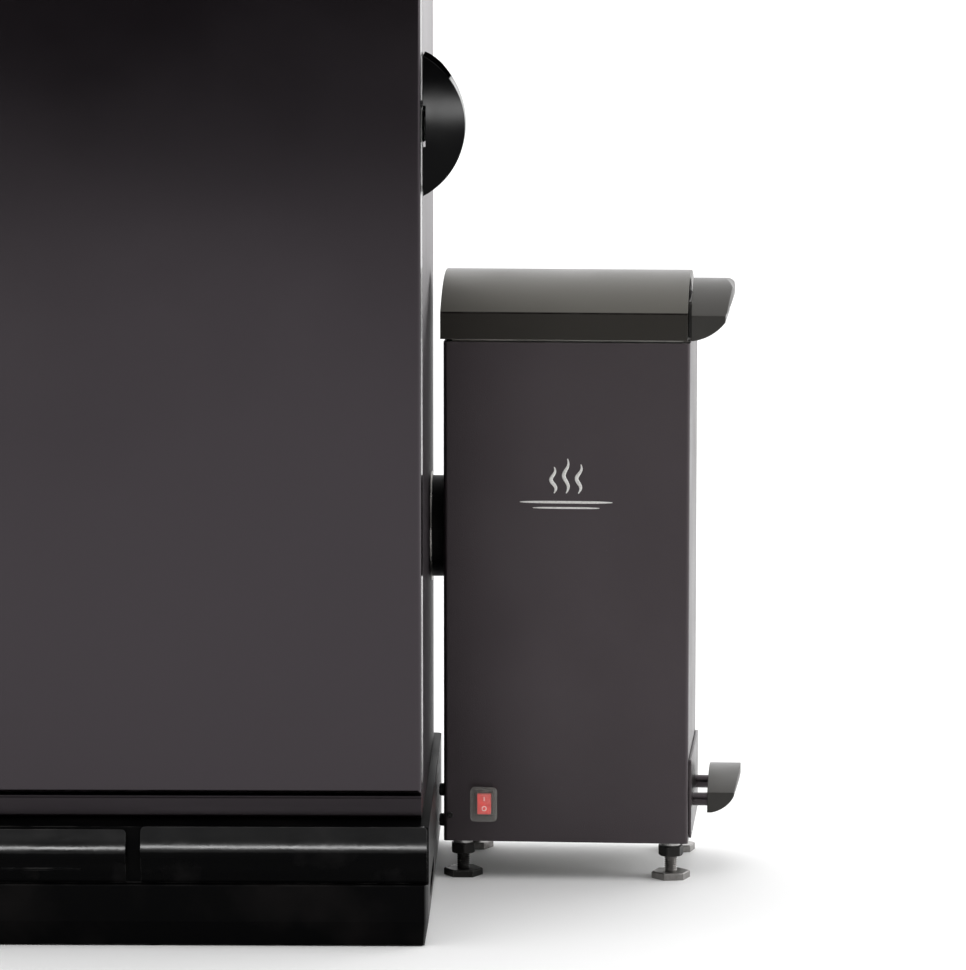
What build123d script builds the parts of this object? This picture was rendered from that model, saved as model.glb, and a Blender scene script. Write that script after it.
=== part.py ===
"""Electric cabinet smoker with a side smoke box.

A tall insulated cabinet stands on a moulded base that holds two front trays. A door hinged on the
left closes the cooking chamber, and a draw latch on the right side holds it. A narrow smoke box
stands beside the cabinet on four levelling feet and feeds smoke through a round port in the
cabinet's right wall. The box has an arched lid, a lift-out chip hopper, a small heater, an ash
drawer and a lit rocker switch.

All sizes are in millimetres. While modelling, X runs to the right from the cabinet's middle,
Y runs back from the base's front face and Z runs up from the floor. Every piece is moved by the
same amount at the end, so that the origin is at the bottom centre of the whole object's box.
"""

from build123d import *
from math import atan2, cos, degrees, hypot, radians, sin
import os

# ---------------------------------------------------------------- driving dimensions, cabinet
CABINET_W = 500.0  # width of shell, door and top cover
SHELL_D = 323.0  # depth of the shell behind the door
SHELL_H = 683.5  # height of the shell
SHEET = 1.2  # painted steel sheet
LINER_SHEET = 0.8  # stainless liner sheet
WALL_T = 28.0  # insulated wall, side and back, outside to inside
FLOOR_T = 29.5  # insulated floor
ROOF_T = 30.0  # insulated roof
FRAME_T = 1.5  # frame round the chamber's mouth
DOOR_T = 42.0  # door thickness
DOOR_SETBACK = 30.0  # door face behind the base's front
DOOR_GAP = 1.5  # gap over the lower rail
DOOR_TOP_GAP = 3.0  # gap under the top cover
RAIL_H = 17.0  # lower front rail
RAIL_GAP = 2.0  # gap between base deck and rail
SEAL_GAP = 3.5  # room between door back and frame
SEAL_CLEAR = 0.2
SEAL_W = 14.0
SEAL_INSET = 11.0  # seal's outer edge in from the door's edge
PLUG_DEPTH = 8.0  # raised panel on the door's inner side
PLUG_INSET = 13.0  # panel's edge in from the chamber's mouth

# ---------------------------------------------------------------- driving dimensions, base
BASE_W = 512.0
BASE_D = 408.0
BASE_H = 87.7
BASE_WALL = 3.0
PAD_H = 0.8  # rubber pads under the base
PAD_R = 14.0
SHELF_Z = 45.7  # top of the shelf that the trays slide on, above the pads
TRAY_SPLIT_X = 38.0  # middle of the divider between the two trays
TRAY_SPLIT_W = 11.0  # gap between the two tray fronts
SKIRT_LEDGE = 2.0  # the skirt stands this far in front of the tray bays
TRAY_FRONT_T = 6.0  # tray front in front of the base
TRAY_BROW = 0.8  # a tray front's top edge over the base's deck
TRAY_LIP = 5.6  # rounded pull lip that stands out of a tray front
GREASE_TRAY_DROP = 2.2  # left tray front is this much lower than the right one
TRAY_WALL = 2.0
TRAY_CLEAR = 2.0  # around a tray in its bay
TRAY_D = 330.0
SKIRT_TAPER_H = 18.0
SKIRT_TAPER = 3.0
HAND_HOLE_Y = (48.0, 150.0)
HAND_HOLE_Z = (27.0, 39.0)

# ---------------------------------------------------------------- driving dimensions, top
COVER_H = 28.0
COVER_T = 2.0
CONSOLE_W = 240.0
CONSOLE_D = 125.0
CONSOLE_H = 38.0
CONSOLE_LIP_H = 8.0  # upright front edge of the console
CONSOLE_FLAT = 30.0  # flat top behind the slope
CONSOLE_T = 2.2
PANEL_T = 1.2
PANEL_W = 214.0
PANEL_H = 80.0
LENS_W = 84.0
LENS_H = 34.0
BUTTON_R = 7.5
BUTTON_CLEAR = 0.4
BUTTON_PROUD = 2.2
BUTTON_TRAVEL = 1.5
BUTTON_PITCH = 30.0
VENT_X = 160.0
VENT_Y = 300.0
STACK_R = 25.0
STACK_T = 1.5
VENT_FLANGE_R = 37.0
VENT_HOLE_R = 7.5
VENT_HOLE_AT = 14.0

# ---------------------------------------------------------------- driving dimensions, chamber
RACK_COUNT = 3
RACK_FIRST_Z = 345.0
RACK_PITCH = 125.0
RACK_ROD_R = 2.6
RACK_WIRE_R = 1.5
RACK_WIRE_PITCH = 19.0
RACK_SIDE_CLEAR = 8.0  # rack frame to the chamber's side wall
RACK_FRONT_CLEAR = 13.0
LEDGE_W = 14.0
LEDGE_T = 1.5
POST_W = 14.0
BOWL_R = 78.0
BOWL_H = 48.0
PAN_H = 12.0
CHIP_TRAY_W = 120.0
CHIP_TRAY_D = 150.0
CHIP_TRAY_H = 38.0
CHIP_TRAY_Z = 172.0
ELEMENT_R = 4.0
ELEMENT_Z = 152.0
SPOUT_R = 7.0

# ---------------------------------------------------------------- driving dimensions, smoke box
SIDE_GAP = 11.2  # cabinet side to smoke box
BOX_W = 191.5
BOX_D = 150.0
BOX_H = 393.0
BOX_BOTTOM = 30.5  # floor to the box's underside
BOX_SETBACK = 250.0  # box front behind the base's front
BOX_CORNER_R = 3.0
BOX_TURN = 3.5  # the box stands this many degrees clockwise of the cabinet, seen from above
PORT_Z = 269.5
SPIGOT_R = 35.6
SPIGOT_T = 1.6
PORT_CLEAR = 0.08
SLEEVE_T = 2.5
COLLAR_R = 40.0  # collar that is seen between cabinet and box
SPIGOT_REACH = 15.0  # spigot's length inside the chamber
LID_GAP = 2.0
LID_SKIRT = 20.8
LID_ARCH = 28.3  # crest over the front crease
LID_FRONT_R = 85.5
LID_BACK_DROP = 26.0  # crest to back crease
LID_LEFT_OUT = 2.4  # the lid sits a little to the left of the box under it
LID_RIGHT_IN = 2.0
LID_T = 1.5
HINGE_R = 4.0
HINGE_PIN_R = 2.0
LEAF_T = 1.5
RUN_CLEAR = 0.06
HOPPER_MARGIN = 20.0  # hopper's wall in from the box's nearer walls
HOPPER_T = 1.0
HOPPER_BOTTOM = 122.0
DRAWER_H = 38.0
DRAWER_Z = 50.0
DRAWER_CLEAR = 2.0
DRAWER_PLATE_T = 2.0
HANDLE_POST_R = 5.2
HANDLE_POST_L = 11.8
HANDLE_POST_PITCH = 76.0
FOOT_AF = 26.5
FOOT_H = 5.5
STUD_R = 5.0
THREAD_DEPTH = 0.55
THREAD_PITCH = 1.6
NUT_AF = 17.5
NUT_H = 8.0
NUT_Z = 18.0
BOSS_R = 7.5
FOOT_INSET_X = 14.0
FOOT_INSET_Y = 19.0
SWITCH_X = 32.0  # switch centre from the box's left side
SWITCH_Z = 60.9
BEZEL_W = 15.0
BEZEL_H = 21.4
BEZEL_T = 1.8
ROCKER_W = 10.4
ROCKER_H = 15.8
ROCKER_SLOPE = 5.0
BOOT_W = 20.7
BOOT_H = 27.3
BOOT_DEPTH = 7.0
BOOT_T = 1.2

# ---------------------------------------------------------------- driving dimensions, latch
LATCH_Z = 603.5
LATCH_CHORD = 103.0
LATCH_PROUD = 31.0
LATCH_LENGTH = 78.0
LATCH_WALL = 2.6
LATCH_OFFSET = 1.4  # lever to the cabinet's side
LATCH_BULGE = 7.0
LATCH_PIN_R = 2.5
KEEPER_RIDGE = 2.2
HOOK_LIFT = 0.2  # hook's nose over the keeper's ridge

# ---------------------------------------------------------------- places worked out from them
HALF_W = CABINET_W / 2
DOOR_Y = (DOOR_SETBACK, DOOR_SETBACK + DOOR_T)
FRAME_Y = DOOR_Y[1] + SEAL_GAP
SHELL_Y = (FRAME_Y + FRAME_T, FRAME_Y + FRAME_T + SHELL_D)
DECK_Z = PAD_H + BASE_H
SHELL_Z = (DECK_Z, DECK_Z + SHELL_H)
RAIL_Z = (DECK_Z + RAIL_GAP, DECK_Z + RAIL_GAP + RAIL_H)
DOOR_Z = (RAIL_Z[1] + DOOR_GAP, SHELL_Z[1] - DOOR_TOP_GAP)
ROOM_X = HALF_W - WALL_T
ROOM_Y = (SHELL_Y[0], SHELL_Y[1] - WALL_T)
ROOM_Z = (SHELL_Z[0] + FLOOR_T, SHELL_Z[1] - ROOF_T)
COVER_Z = (SHELL_Z[1], SHELL_Z[1] + COVER_H)
HALF_BASE = BASE_W / 2
BOX_X = (HALF_W + SIDE_GAP, HALF_W + SIDE_GAP + BOX_W)
BOX_Y = (BOX_SETBACK, BOX_SETBACK + BOX_D)
BOX_Z = (BOX_BOTTOM, BOX_BOTTOM + BOX_H)
BOX_MID = ((BOX_X[0] + BOX_X[1]) / 2, (BOX_Y[0] + BOX_Y[1]) / 2)
HOPPER_R = min(BOX_W, BOX_D) / 2 - HOPPER_MARGIN
PORT_Y = BOX_MID[1]
LID_Z0 = BOX_Z[1] + LID_GAP
CREASE_Z = LID_Z0 + LID_SKIRT
RACK_X = ROOM_X - RACK_SIDE_CLEAR
RACK_Y = (ROOM_Y[0] + RACK_FRONT_CLEAR, ROOM_Y[1] - RACK_SIDE_CLEAR)
RACK_ZS = [RACK_FIRST_Z + i * RACK_PITCH for i in range(RACK_COUNT)]


# ---------------------------------------------------------------- helpers
def block(x, y, z):
    """A box between two limits on each axis."""
    return Pos((x[0] + x[1]) / 2, (y[0] + y[1]) / 2, (z[0] + z[1]) / 2) * Box(
        x[1] - x[0], y[1] - y[0], z[1] - z[0]
    )


def grown(limits, amount):
    """Limits moved outwards by an amount."""
    return limits[0] - amount, limits[1] + amount


def rod_x(x, y, z, radius):
    """A round bar along X."""
    return Pos((x[0] + x[1]) / 2, y, z) * Rot(0, 90, 0) * Cylinder(radius, x[1] - x[0])


def rod_y(x, y, z, radius):
    """A round bar along Y."""
    return Pos(x, (y[0] + y[1]) / 2, z) * Rot(90, 0, 0) * Cylinder(radius, y[1] - y[0])


def rod_z(x, y, z, radius):
    """A round bar along Z."""
    return Pos(x, y, (z[0] + z[1]) / 2) * Cylinder(radius, z[1] - z[0])


def side_profile(edges, x):
    """Closed outline drawn in the Y-Z plane, drawn out between two X limits."""
    face = Plane.YZ.offset(x[0]) * make_face(Curve() + edges)
    return extrude(face, x[1] - x[0])


def outline_prism(points, plane, start, length):
    """Straight-sided outline on a plane, moved along its normal and drawn out."""
    face = plane.offset(start) * make_face(Polyline(*points, close=True))
    return extrude(face, length)


def vertical_edges(shape):
    return shape.edges().filter_by(Axis.Z)


def askew(shape, angle=-BOX_TURN):
    """Turns a shape about the upright front left corner of the smoke box."""
    return Pos(BOX_X[0], BOX_Y[0], 0) * Rot(0, 0, angle) * Pos(-BOX_X[0], -BOX_Y[0], 0) * shape


def bodies_of(shape):
    """Every solid of a shape, as one compound."""
    return Compound(children=list(shape.solids()))


# ---------------------------------------------------------------- base
LEFT_BAY = (-HALF_BASE + BASE_WALL, TRAY_SPLIT_X - TRAY_SPLIT_W / 2)
RIGHT_BAY = (TRAY_SPLIT_X + TRAY_SPLIT_W / 2, HALF_BASE - BASE_WALL)
BAY_Z = (PAD_H + SHELF_Z, DECK_Z - BASE_WALL)
BAY_Y = (0.0, TRAY_FRONT_T + TRAY_D + TRAY_CLEAR)
SPOUT_X = -60.0
SPOUT_Y = 225.0


def base_housing():
    """Moulded base: a tapered skirt, a deck, a shelf and two bays for the trays, open below."""
    outer = block((-HALF_BASE, HALF_BASE), (-SKIRT_LEDGE, BASE_D), (PAD_H, DECK_Z))
    outer = fillet(vertical_edges(outer), 5)
    outer = chamfer(outer.faces().sort_by(Axis.Z)[0].edges(), SKIRT_TAPER_H, SKIRT_TAPER)
    inner = (-HALF_BASE + BASE_WALL + SKIRT_TAPER, HALF_BASE - BASE_WALL - SKIRT_TAPER)
    under = block(
        inner,
        (BASE_WALL + SKIRT_TAPER, BASE_D - BASE_WALL - SKIRT_TAPER),
        (0, BAY_Z[0] - BASE_WALL),
    )
    front_step = block(
        (-HALF_BASE - 1, HALF_BASE + 1), (-SKIRT_LEDGE - 1, TRAY_FRONT_T), (BAY_Z[0], DECK_Z + 1)
    )
    bays = [block(bay, BAY_Y, BAY_Z) for bay in (LEFT_BAY, RIGHT_BAY)]
    behind = block(
        inner,
        (BAY_Y[1] + BASE_WALL, BASE_D - BASE_WALL - SKIRT_TAPER),
        (0, DECK_Z - BASE_WALL),
    )
    drain = rod_z(SPOUT_X, SPOUT_Y, (BAY_Z[1] - 1, DECK_Z + 1), SPOUT_R + 0.6)
    grip = block((-HALF_BASE - 1, HALF_BASE + 1), HAND_HOLE_Y, HAND_HOLE_Z)
    grip = fillet(grip.edges().filter_by(Axis.X), 5)
    body = outer - [under, front_step, *bays, behind, drain, grip]
    front_edges = body.edges().filter_by(Axis.X).filter_by(lambda e: abs(e.center().Y + SKIRT_LEDGE) < 0.1)
    return fillet(front_edges.filter_by(lambda e: abs(e.center().Z - BAY_Z[0]) < 0.1), 0.8)


PAD_PLACES = [
    (-HALF_BASE + 45, 45),
    (HALF_BASE - 45, 45),
    (-HALF_BASE + 45, BASE_D - 45),
    (HALF_BASE - 45, BASE_D - 45),
    (TRAY_SPLIT_X + 13, 16.2),
]


def base_feet():
    """Five rubber pads under the base, on short bosses that reach up inside it."""
    pads = []
    for x, y in PAD_PLACES:
        pad = rod_z(x, y, (0, PAD_H), PAD_R)
        boss = rod_z(x, y, (PAD_H, BAY_Z[0] - BASE_WALL), PAD_R - 4)
        pads.append(pad + boss)
    return Compound(children=pads)


def tray(bay, front, drop):
    """A tray whose front swells into a rounded pull lip and whose box slides in its bay."""
    z0, z1 = BAY_Z[0] + 0.3, DECK_Z + TRAY_BROW - drop
    back = TRAY_FRONT_T - 0.5
    nose = Vector(-TRAY_LIP, z0 + (z1 - z0) * 0.56)
    profile = [
        Line((1.0, z1), (back, z1)),
        Line((back, z1), (back, z0)),
        Line((back, z0), (2.6, z0)),
        Spline((2.6, z0), (0.2, z0 + 9), nose, tangents=((-0.1, 1), (0, 1))),
        Spline(nose, (-TRAY_LIP + 1.6, nose.Y + 8), (1.0, z1), tangents=((0, 1), (0.42, 1))),
    ]
    panel = side_profile(profile, front)
    corners = panel.edges().filter_by(Axis.Y).group_by(Axis.Z)[-1]
    panel = fillet(corners, 3)
    box_x = grown(bay, -TRAY_CLEAR)
    box_z = (BAY_Z[0] + 0.1, BAY_Z[1] - TRAY_CLEAR - drop)
    box_y = (back, TRAY_FRONT_T + TRAY_D)
    box = block(box_x, box_y, box_z)
    hollow = block(
        grown(box_x, -TRAY_WALL),
        (back, box_y[1] - TRAY_WALL),
        (box_z[0] + TRAY_WALL, box_z[1] + 1),
    )
    return panel + (box - hollow)


def grease_tray():
    """Wide left tray that catches what runs out of the chamber, with a raised rib on its front."""
    front = (-HALF_BASE + 1, LEFT_BAY[1])
    rib_z = BAY_Z[0] + 10.4
    rib = block((front[0] + 40, front[1] - 33), (-1.9, 3), (rib_z, rib_z + 1.6))
    rib = fillet(rib.edges().filter_by(Axis.Y), 0.7)
    return tray(LEFT_BAY, front, GREASE_TRAY_DROP) + rib


def ash_tray():
    """Narrow right tray."""
    return tray(RIGHT_BAY, (RIGHT_BAY[0], HALF_BASE - 1), 0)


# ---------------------------------------------------------------- cabinet shell
SLEEVE_R = SPIGOT_R + PORT_CLEAR + SLEEVE_T
CHIP_TRAY_AT = (ROOM_X - 30 - CHIP_TRAY_W / 2, ROOM_Y[1] - 22 - CHIP_TRAY_D / 2)
ELEMENT_X = CHIP_TRAY_AT[0]
ELEMENT_SPREAD = 40.0


def wall_passages(extra):
    """Bars through the walls where the port, stack, spout and heater pass, grown by a clearance."""
    return [
        rod_x((ROOM_X - 2, HALF_W + 2), PORT_Y, PORT_Z, SLEEVE_R + extra),
        rod_z(VENT_X, VENT_Y, (ROOM_Z[1] - 2, COVER_Z[1] + 2), STACK_R + extra),
        rod_z(SPOUT_X, SPOUT_Y, (DECK_Z - 2, ROOM_Z[0] + 2), SPOUT_R + extra),
        *[
            rod_y(ELEMENT_X + s * ELEMENT_SPREAD, (ROOM_Y[1] - 2, SHELL_Y[1] + 2), ELEMENT_Z, ELEMENT_R + extra)
            for s in (-1, 1)
        ],
    ]


def outer_shell():
    """Painted sheet shell: sides, back, roof and floor, open at the front."""
    outer = block((-HALF_W, HALF_W), SHELL_Y, SHELL_Z)
    outer = fillet(vertical_edges(outer).group_by(Axis.Y)[-1], 5)
    inner = block(
        grown((-HALF_W, HALF_W), -SHEET),
        (SHELL_Y[0] - 1, SHELL_Y[1] - SHEET),
        grown(SHELL_Z, -SHEET),
    )
    inner = fillet(vertical_edges(inner).group_by(Axis.Y)[-1], 5 - SHEET)
    return outer - inner - wall_passages(0.1)


def liner_outer():
    return block(
        grown((-ROOM_X, ROOM_X), LINER_SHEET),
        (ROOM_Y[0], ROOM_Y[1] + LINER_SHEET),
        grown(ROOM_Z, LINER_SHEET),
    )


def inner_liner():
    """Stainless chamber, open at the front."""
    room = block((-ROOM_X, ROOM_X), (ROOM_Y[0] - 1, ROOM_Y[1]), ROOM_Z)
    return liner_outer() - room - wall_passages(0.1)


def wall_insulation():
    """Mineral wool between the shell and the liner."""
    outer = block(
        grown((-HALF_W, HALF_W), -SHEET),
        (SHELL_Y[0], SHELL_Y[1] - SHEET),
        grown(SHELL_Z, -SHEET),
    )
    outer = fillet(vertical_edges(outer).group_by(Axis.Y)[-1], 5 - SHEET)
    return outer - liner_outer() - wall_passages(0.1)


def front_frame():
    """Pressed frame round the chamber's mouth, with the lower front rail that runs under the door."""
    plate = block((-HALF_W, HALF_W), (FRAME_Y, SHELL_Y[0]), (RAIL_Z[0], SHELL_Z[1]))
    mouth = block((-ROOM_X, ROOM_X), grown((FRAME_Y, SHELL_Y[0]), 1), ROOM_Z)
    rail = block((-HALF_W, HALF_W), (DOOR_Y[0] + 1, FRAME_Y + 0.5), RAIL_Z)
    rail = fillet(rail.edges().filter_by(Axis.X).group_by(Axis.Y)[0], 2.5)
    channel = block(
        grown((-HALF_W, HALF_W), -FRAME_T),
        (DOOR_Y[0] + 1 + FRAME_T, FRAME_Y),
        (RAIL_Z[0] - 1, RAIL_Z[1] - FRAME_T),
    )
    return plate - mouth + (rail - channel)


def port_sleeve():
    """Flanged sleeve that lines the smoke port in the right wall."""
    tube = rod_x((ROOM_X - LINER_SHEET, HALF_W), PORT_Y, PORT_Z, SLEEVE_R)
    flange = rod_x((HALF_W, HALF_W + 1.2), PORT_Y, PORT_Z, SLEEVE_R + 5)
    bore = rod_x((ROOM_X - 5, HALF_W + 5), PORT_Y, PORT_Z, SPIGOT_R + PORT_CLEAR)
    return tube + flange - bore


REAR_COVER_Z = (DECK_Z + 20, DECK_Z + 120)


def rear_cover():
    """Pressed cover over the heater's terminals, with a round cord outlet."""
    x = (ELEMENT_X - 75, ELEMENT_X + 75)
    y = (SHELL_Y[1], SHELL_Y[1] + 8)
    pan = block(x, y, REAR_COVER_Z)
    pan = fillet(pan.edges().filter_by(Axis.Y) + pan.faces().sort_by(Axis.Y)[-1].edges(), 3)
    pocket = block(grown(x, -SHEET), (y[0] - 1, y[1] - SHEET), grown(REAR_COVER_Z, -SHEET))
    outlet = rod_y(ELEMENT_X + 50, (y[0], y[1] + 4), REAR_COVER_Z[0] + 22, 7)
    return pan - pocket - outlet


# ---------------------------------------------------------------- top
def top_cover():
    """Cap over the shell and the door's top edge, hollow below."""
    outer = block((-HALF_W, HALF_W), (DOOR_Y[0], SHELL_Y[1]), COVER_Z)
    outer = fillet(vertical_edges(outer) + outer.faces().sort_by(Axis.Z)[-1].edges(), 6)
    inner_x = grown((-HALF_W, HALF_W), -COVER_T)
    hollow = block(
        inner_x, (DOOR_Y[0] + 2 * COVER_T, SHELL_Y[1] - COVER_T), (COVER_Z[0] + COVER_T, COVER_Z[1] - COVER_T)
    )
    below = block(inner_x, (SHELL_Y[0] + COVER_T, SHELL_Y[1] - COVER_T), (COVER_Z[0] - 1, COVER_Z[0] + COVER_T))
    stack = rod_z(VENT_X, VENT_Y, grown(COVER_Z, 2), STACK_R + 0.1)
    cable = rod_z(0, CONSOLE_Y[1] - 25, grown(COVER_Z, 2), 8)
    return outer - hollow - below - stack - cable


CONSOLE_Y = (DOOR_Y[0] + 10, DOOR_Y[0] + 10 + CONSOLE_D)
CONSOLE_Z = (COVER_Z[1], COVER_Z[1] + CONSOLE_H)
SLOPE_START = (CONSOLE_Y[0], CONSOLE_Z[0] + CONSOLE_LIP_H)
SLOPE_END = (CONSOLE_Y[1] - CONSOLE_FLAT, CONSOLE_Z[1])
SLOPE_ANGLE = degrees(atan2(SLOPE_END[1] - SLOPE_START[1], SLOPE_END[0] - SLOPE_START[0]))
SLOPE_MID = ((SLOPE_START[0] + SLOPE_END[0]) / 2, (SLOPE_START[1] + SLOPE_END[1]) / 2)
SLOPE_NORMAL = (0, -sin(radians(SLOPE_ANGLE)), cos(radians(SLOPE_ANGLE)))
PANEL_PLANE = Plane(origin=(0, *SLOPE_MID), x_dir=(1, 0, 0), z_dir=SLOPE_NORMAL)
LENS_AT = (-48.0, 0.0)
BUTTON_NAMES = ("power_button", "temperature_button", "timer_button")
BUTTON_PLACES = [(22.0 + i * BUTTON_PITCH, 0.0) for i in range(len(BUTTON_NAMES))]


def on_panel(x, y, z):
    """A place on the console's sloping face: across, up the slope and out of it."""
    return PANEL_PLANE.location * Pos(x, y, z)


def panel_holes(extra):
    """Cutters for the buttons, square to the sloping face."""
    return [on_panel(x, y, 0) * Cylinder(BUTTON_R + extra, 20) for x, y in BUTTON_PLACES]


def control_housing():
    """Hollow console with a sloping face, on the front of the top cover."""
    x = (-CONSOLE_W / 2, CONSOLE_W / 2)
    outline = [
        (CONSOLE_Y[0], CONSOLE_Z[0]),
        SLOPE_START,
        SLOPE_END,
        (CONSOLE_Y[1] - 4, CONSOLE_Z[1]),
        (CONSOLE_Y[1], CONSOLE_Z[0]),
    ]
    outer = outline_prism(outline, Plane.YZ, x[0], CONSOLE_W)
    inner_face = make_face(Polyline(*outline, close=True))
    inner_face = offset(inner_face, -CONSOLE_T)
    inner = extrude(Plane.YZ.offset(x[0] + CONSOLE_T) * inner_face, CONSOLE_W - 2 * CONSOLE_T)
    inner_box = inner.bounding_box()
    below = block(
        (x[0] + CONSOLE_T, x[1] - CONSOLE_T),
        (inner_box.min.Y, inner_box.max.Y),
        (CONSOLE_Z[0] - 1, CONSOLE_Z[0] + CONSOLE_T + 0.1),
    )
    outer = fillet(outer.edges().filter_by(lambda e: e.center().Z > CONSOLE_Z[0] + 1), 2)
    window = on_panel(*LENS_AT, 0) * Box(LENS_W - 8, LENS_H - 8, 20)
    return outer - inner - below - window - panel_holes(BUTTON_CLEAR)


def control_panel():
    """Overlay plate on the console's slope, with openings for the display and the buttons."""
    plate = on_panel(0, 0, PANEL_T / 2) * Box(PANEL_W, PANEL_H, PANEL_T)
    plate = fillet(plate.edges().filter_by(Axis(origin=(0, 0, 0), direction=SLOPE_NORMAL)), 6)
    window = on_panel(*LENS_AT, 0) * Box(LENS_W + 0.4, LENS_H + 0.4, 10)
    return plate - window - panel_holes(BUTTON_CLEAR)


def display_lens():
    """Clear window over the display."""
    lens = on_panel(*LENS_AT, PANEL_T / 2 + 0.2) * Box(LENS_W, LENS_H, PANEL_T + 0.4)
    return fillet(lens.edges().filter_by(Axis(origin=(0, 0, 0), direction=SLOPE_NORMAL)), 3)


def button(place):
    """Round push button, held by a flange under the console's wall."""
    x, y = place
    stem_low, stem_high = -CONSOLE_T - 3, PANEL_T + BUTTON_PROUD
    stem = on_panel(x, y, (stem_low + stem_high) / 2) * Cylinder(BUTTON_R, stem_high - stem_low)
    stem = fillet(stem.edges().sort_by(Axis.Z)[-1], 0.8)
    flange_high = -CONSOLE_T - 0.2
    flange = on_panel(x, y, (stem_low + flange_high) / 2) * Cylinder(BUTTON_R + 2, flange_high - stem_low)
    return stem + flange


GRATE_Z = (COVER_Z[1], COVER_Z[1] + 3)
CAP_Z = (GRATE_Z[1] + 0.3, GRATE_Z[1] + 4.3)


def vent_holes(z):
    return [
        Rot(0, 0, i * 120) * rod_z(VENT_HOLE_AT, 0, z, VENT_HOLE_R) for i in range(3)
    ]


def vent_stack():
    """Flue tube through the roof, with a flanged grate and a hub for the damper."""
    at = Pos(VENT_X, VENT_Y, 0)
    tube = rod_z(0, 0, (ROOM_Z[1], GRATE_Z[0]), STACK_R)
    bore = rod_z(0, 0, (ROOM_Z[1] - 1, GRATE_Z[0]), STACK_R - STACK_T)
    grate = rod_z(0, 0, GRATE_Z, VENT_FLANGE_R)
    hub = rod_z(0, 0, (GRATE_Z[1] - 1, CAP_Z[1]), 3)
    head = rod_z(0, 0, (CAP_Z[1] + 0.2, CAP_Z[1] + 2), 6)
    hub += rod_z(0, 0, (CAP_Z[1] - 1, CAP_Z[1] + 1), 3) + fillet(head.edges().sort_by(Axis.Z)[-1], 1.2)
    return at * (tube - bore + grate - vent_holes(grown(GRATE_Z, 1)) + hub)


def damper_cap():
    """Turning vent cap whose holes slide over the grate's, with a grip bar."""
    disc = rod_z(0, 0, CAP_Z, VENT_FLANGE_R - 1)
    disc = fillet(disc.edges().sort_by(Axis.Z)[-1], 1.2)
    grip = block((-4, 4), (-VENT_FLANGE_R + 3, -10), (CAP_Z[0], CAP_Z[1] + 9))
    grip = fillet(grip.edges().filter_by(Axis.Z) + grip.faces().sort_by(Axis.Z)[-1].edges(), 2)
    grip = Rot(0, 0, 150) * grip
    bore = rod_z(0, 0, grown(CAP_Z, 20), 3 + RUN_CLEAR)
    return Pos(VENT_X, VENT_Y, 0) * (disc + grip - vent_holes(grown(CAP_Z, 1)) - bore)


# ---------------------------------------------------------------- chamber fittings
LEDGE_Z = [z - RACK_ROD_R - LEDGE_T for z in RACK_ZS]
POST_YS = (ROOM_Y[0] + 40, ROOM_Y[1] - 95)


def rack_support(side):
    """Two upright strips and a ledge for each rack, on one side wall of the chamber."""
    wall = side * ROOM_X
    inner = side * (ROOM_X - LEDGE_T)
    posts = [
        block(sorted((wall, inner)), (y - POST_W / 2, y + POST_W / 2), (LEDGE_Z[0] - 20, LEDGE_Z[-1] + 30))
        for y in POST_YS
    ]
    ledges = [
        block(
            sorted((inner, side * (ROOM_X - LEDGE_T - LEDGE_W))),
            (RACK_Y[0], RACK_Y[1] - 8),
            (z, z + LEDGE_T),
        )
        + block(
            sorted((inner, side * (ROOM_X - 2 * LEDGE_T))),
            (RACK_Y[0], RACK_Y[1] - 8),
            (z - 8, z),
        )
        for z in LEDGE_Z
    ]
    return Part() + posts + ledges


def rack():
    """Welded wire rack: a round-rod frame, close wires front to back and two cross rods below."""
    x, y = RACK_X - RACK_ROD_R - 2, grown(RACK_Y, -RACK_ROD_R)
    corner = 12
    frame_path = Plane.XY * Pos(0, (y[0] + y[1]) / 2) * RectangleRounded(2 * x, y[1] - y[0], corner)
    wire = frame_path.wire()
    start = wire @ 0
    frame = sweep(Plane(origin=start, z_dir=wire % 0) * Circle(RACK_ROD_R), path=wire)
    count = int(2 * (x - corner) / RACK_WIRE_PITCH)
    step = 2 * (x - corner) / count
    wires = [rod_y(-x + corner + i * step, y, 0.9, RACK_WIRE_R) for i in range(count + 1)]
    cross = [
        rod_x((-x, x), y[0] + (y[1] - y[0]) * share, -0.7, RACK_WIRE_R + 0.3) for share in (1 / 3, 2 / 3)
    ]
    return Part() + frame + wires + cross


PAN_Z = (ROOM_Z[0] + 0.2, ROOM_Z[0] + 0.2 + PAN_H)


def drip_pan():
    """Shallow pan on the chamber's floor, with a spout that leads grease down to the tray."""
    x, y = (-ROOM_X + 8, ROOM_X - 8), (ROOM_Y[0] + 12, ROOM_Y[1] - 10)
    outer = block(x, y, PAN_Z)
    inner = block(grown(x, -1), grown(y, -1), (PAN_Z[0] + 1, PAN_Z[1] + 1))
    spout = rod_z(SPOUT_X, SPOUT_Y, (BAY_Z[1] + 0.6, PAN_Z[0] + 1), SPOUT_R)
    bore = rod_z(SPOUT_X, SPOUT_Y, (BAY_Z[1] - 5, PAN_Z[1]), SPOUT_R - 1)
    return outer - inner + spout - bore


BOWL_AT = (-125.0, 200.0)


def water_bowl():
    """Round pressed water bowl with a rolled rim."""
    low, high = PAN_Z[0] + 1.1, PAN_Z[0] + 1.1 + BOWL_H
    foot_r = BOWL_R * 0.72
    cup = Pos(0, 0, (low + high) / 2) * Cone(foot_r, BOWL_R, BOWL_H)
    hollow = Pos(0, 0, (low + high) / 2 + 1.2) * Cone(foot_r - 1.2, BOWL_R - 1.2, BOWL_H)
    rim = Pos(0, 0, high - 1.5) * Torus(BOWL_R - 0.2, 1.8)
    bowl = cup - hollow + rim
    return Pos(*BOWL_AT, 0) * bowl


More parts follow.
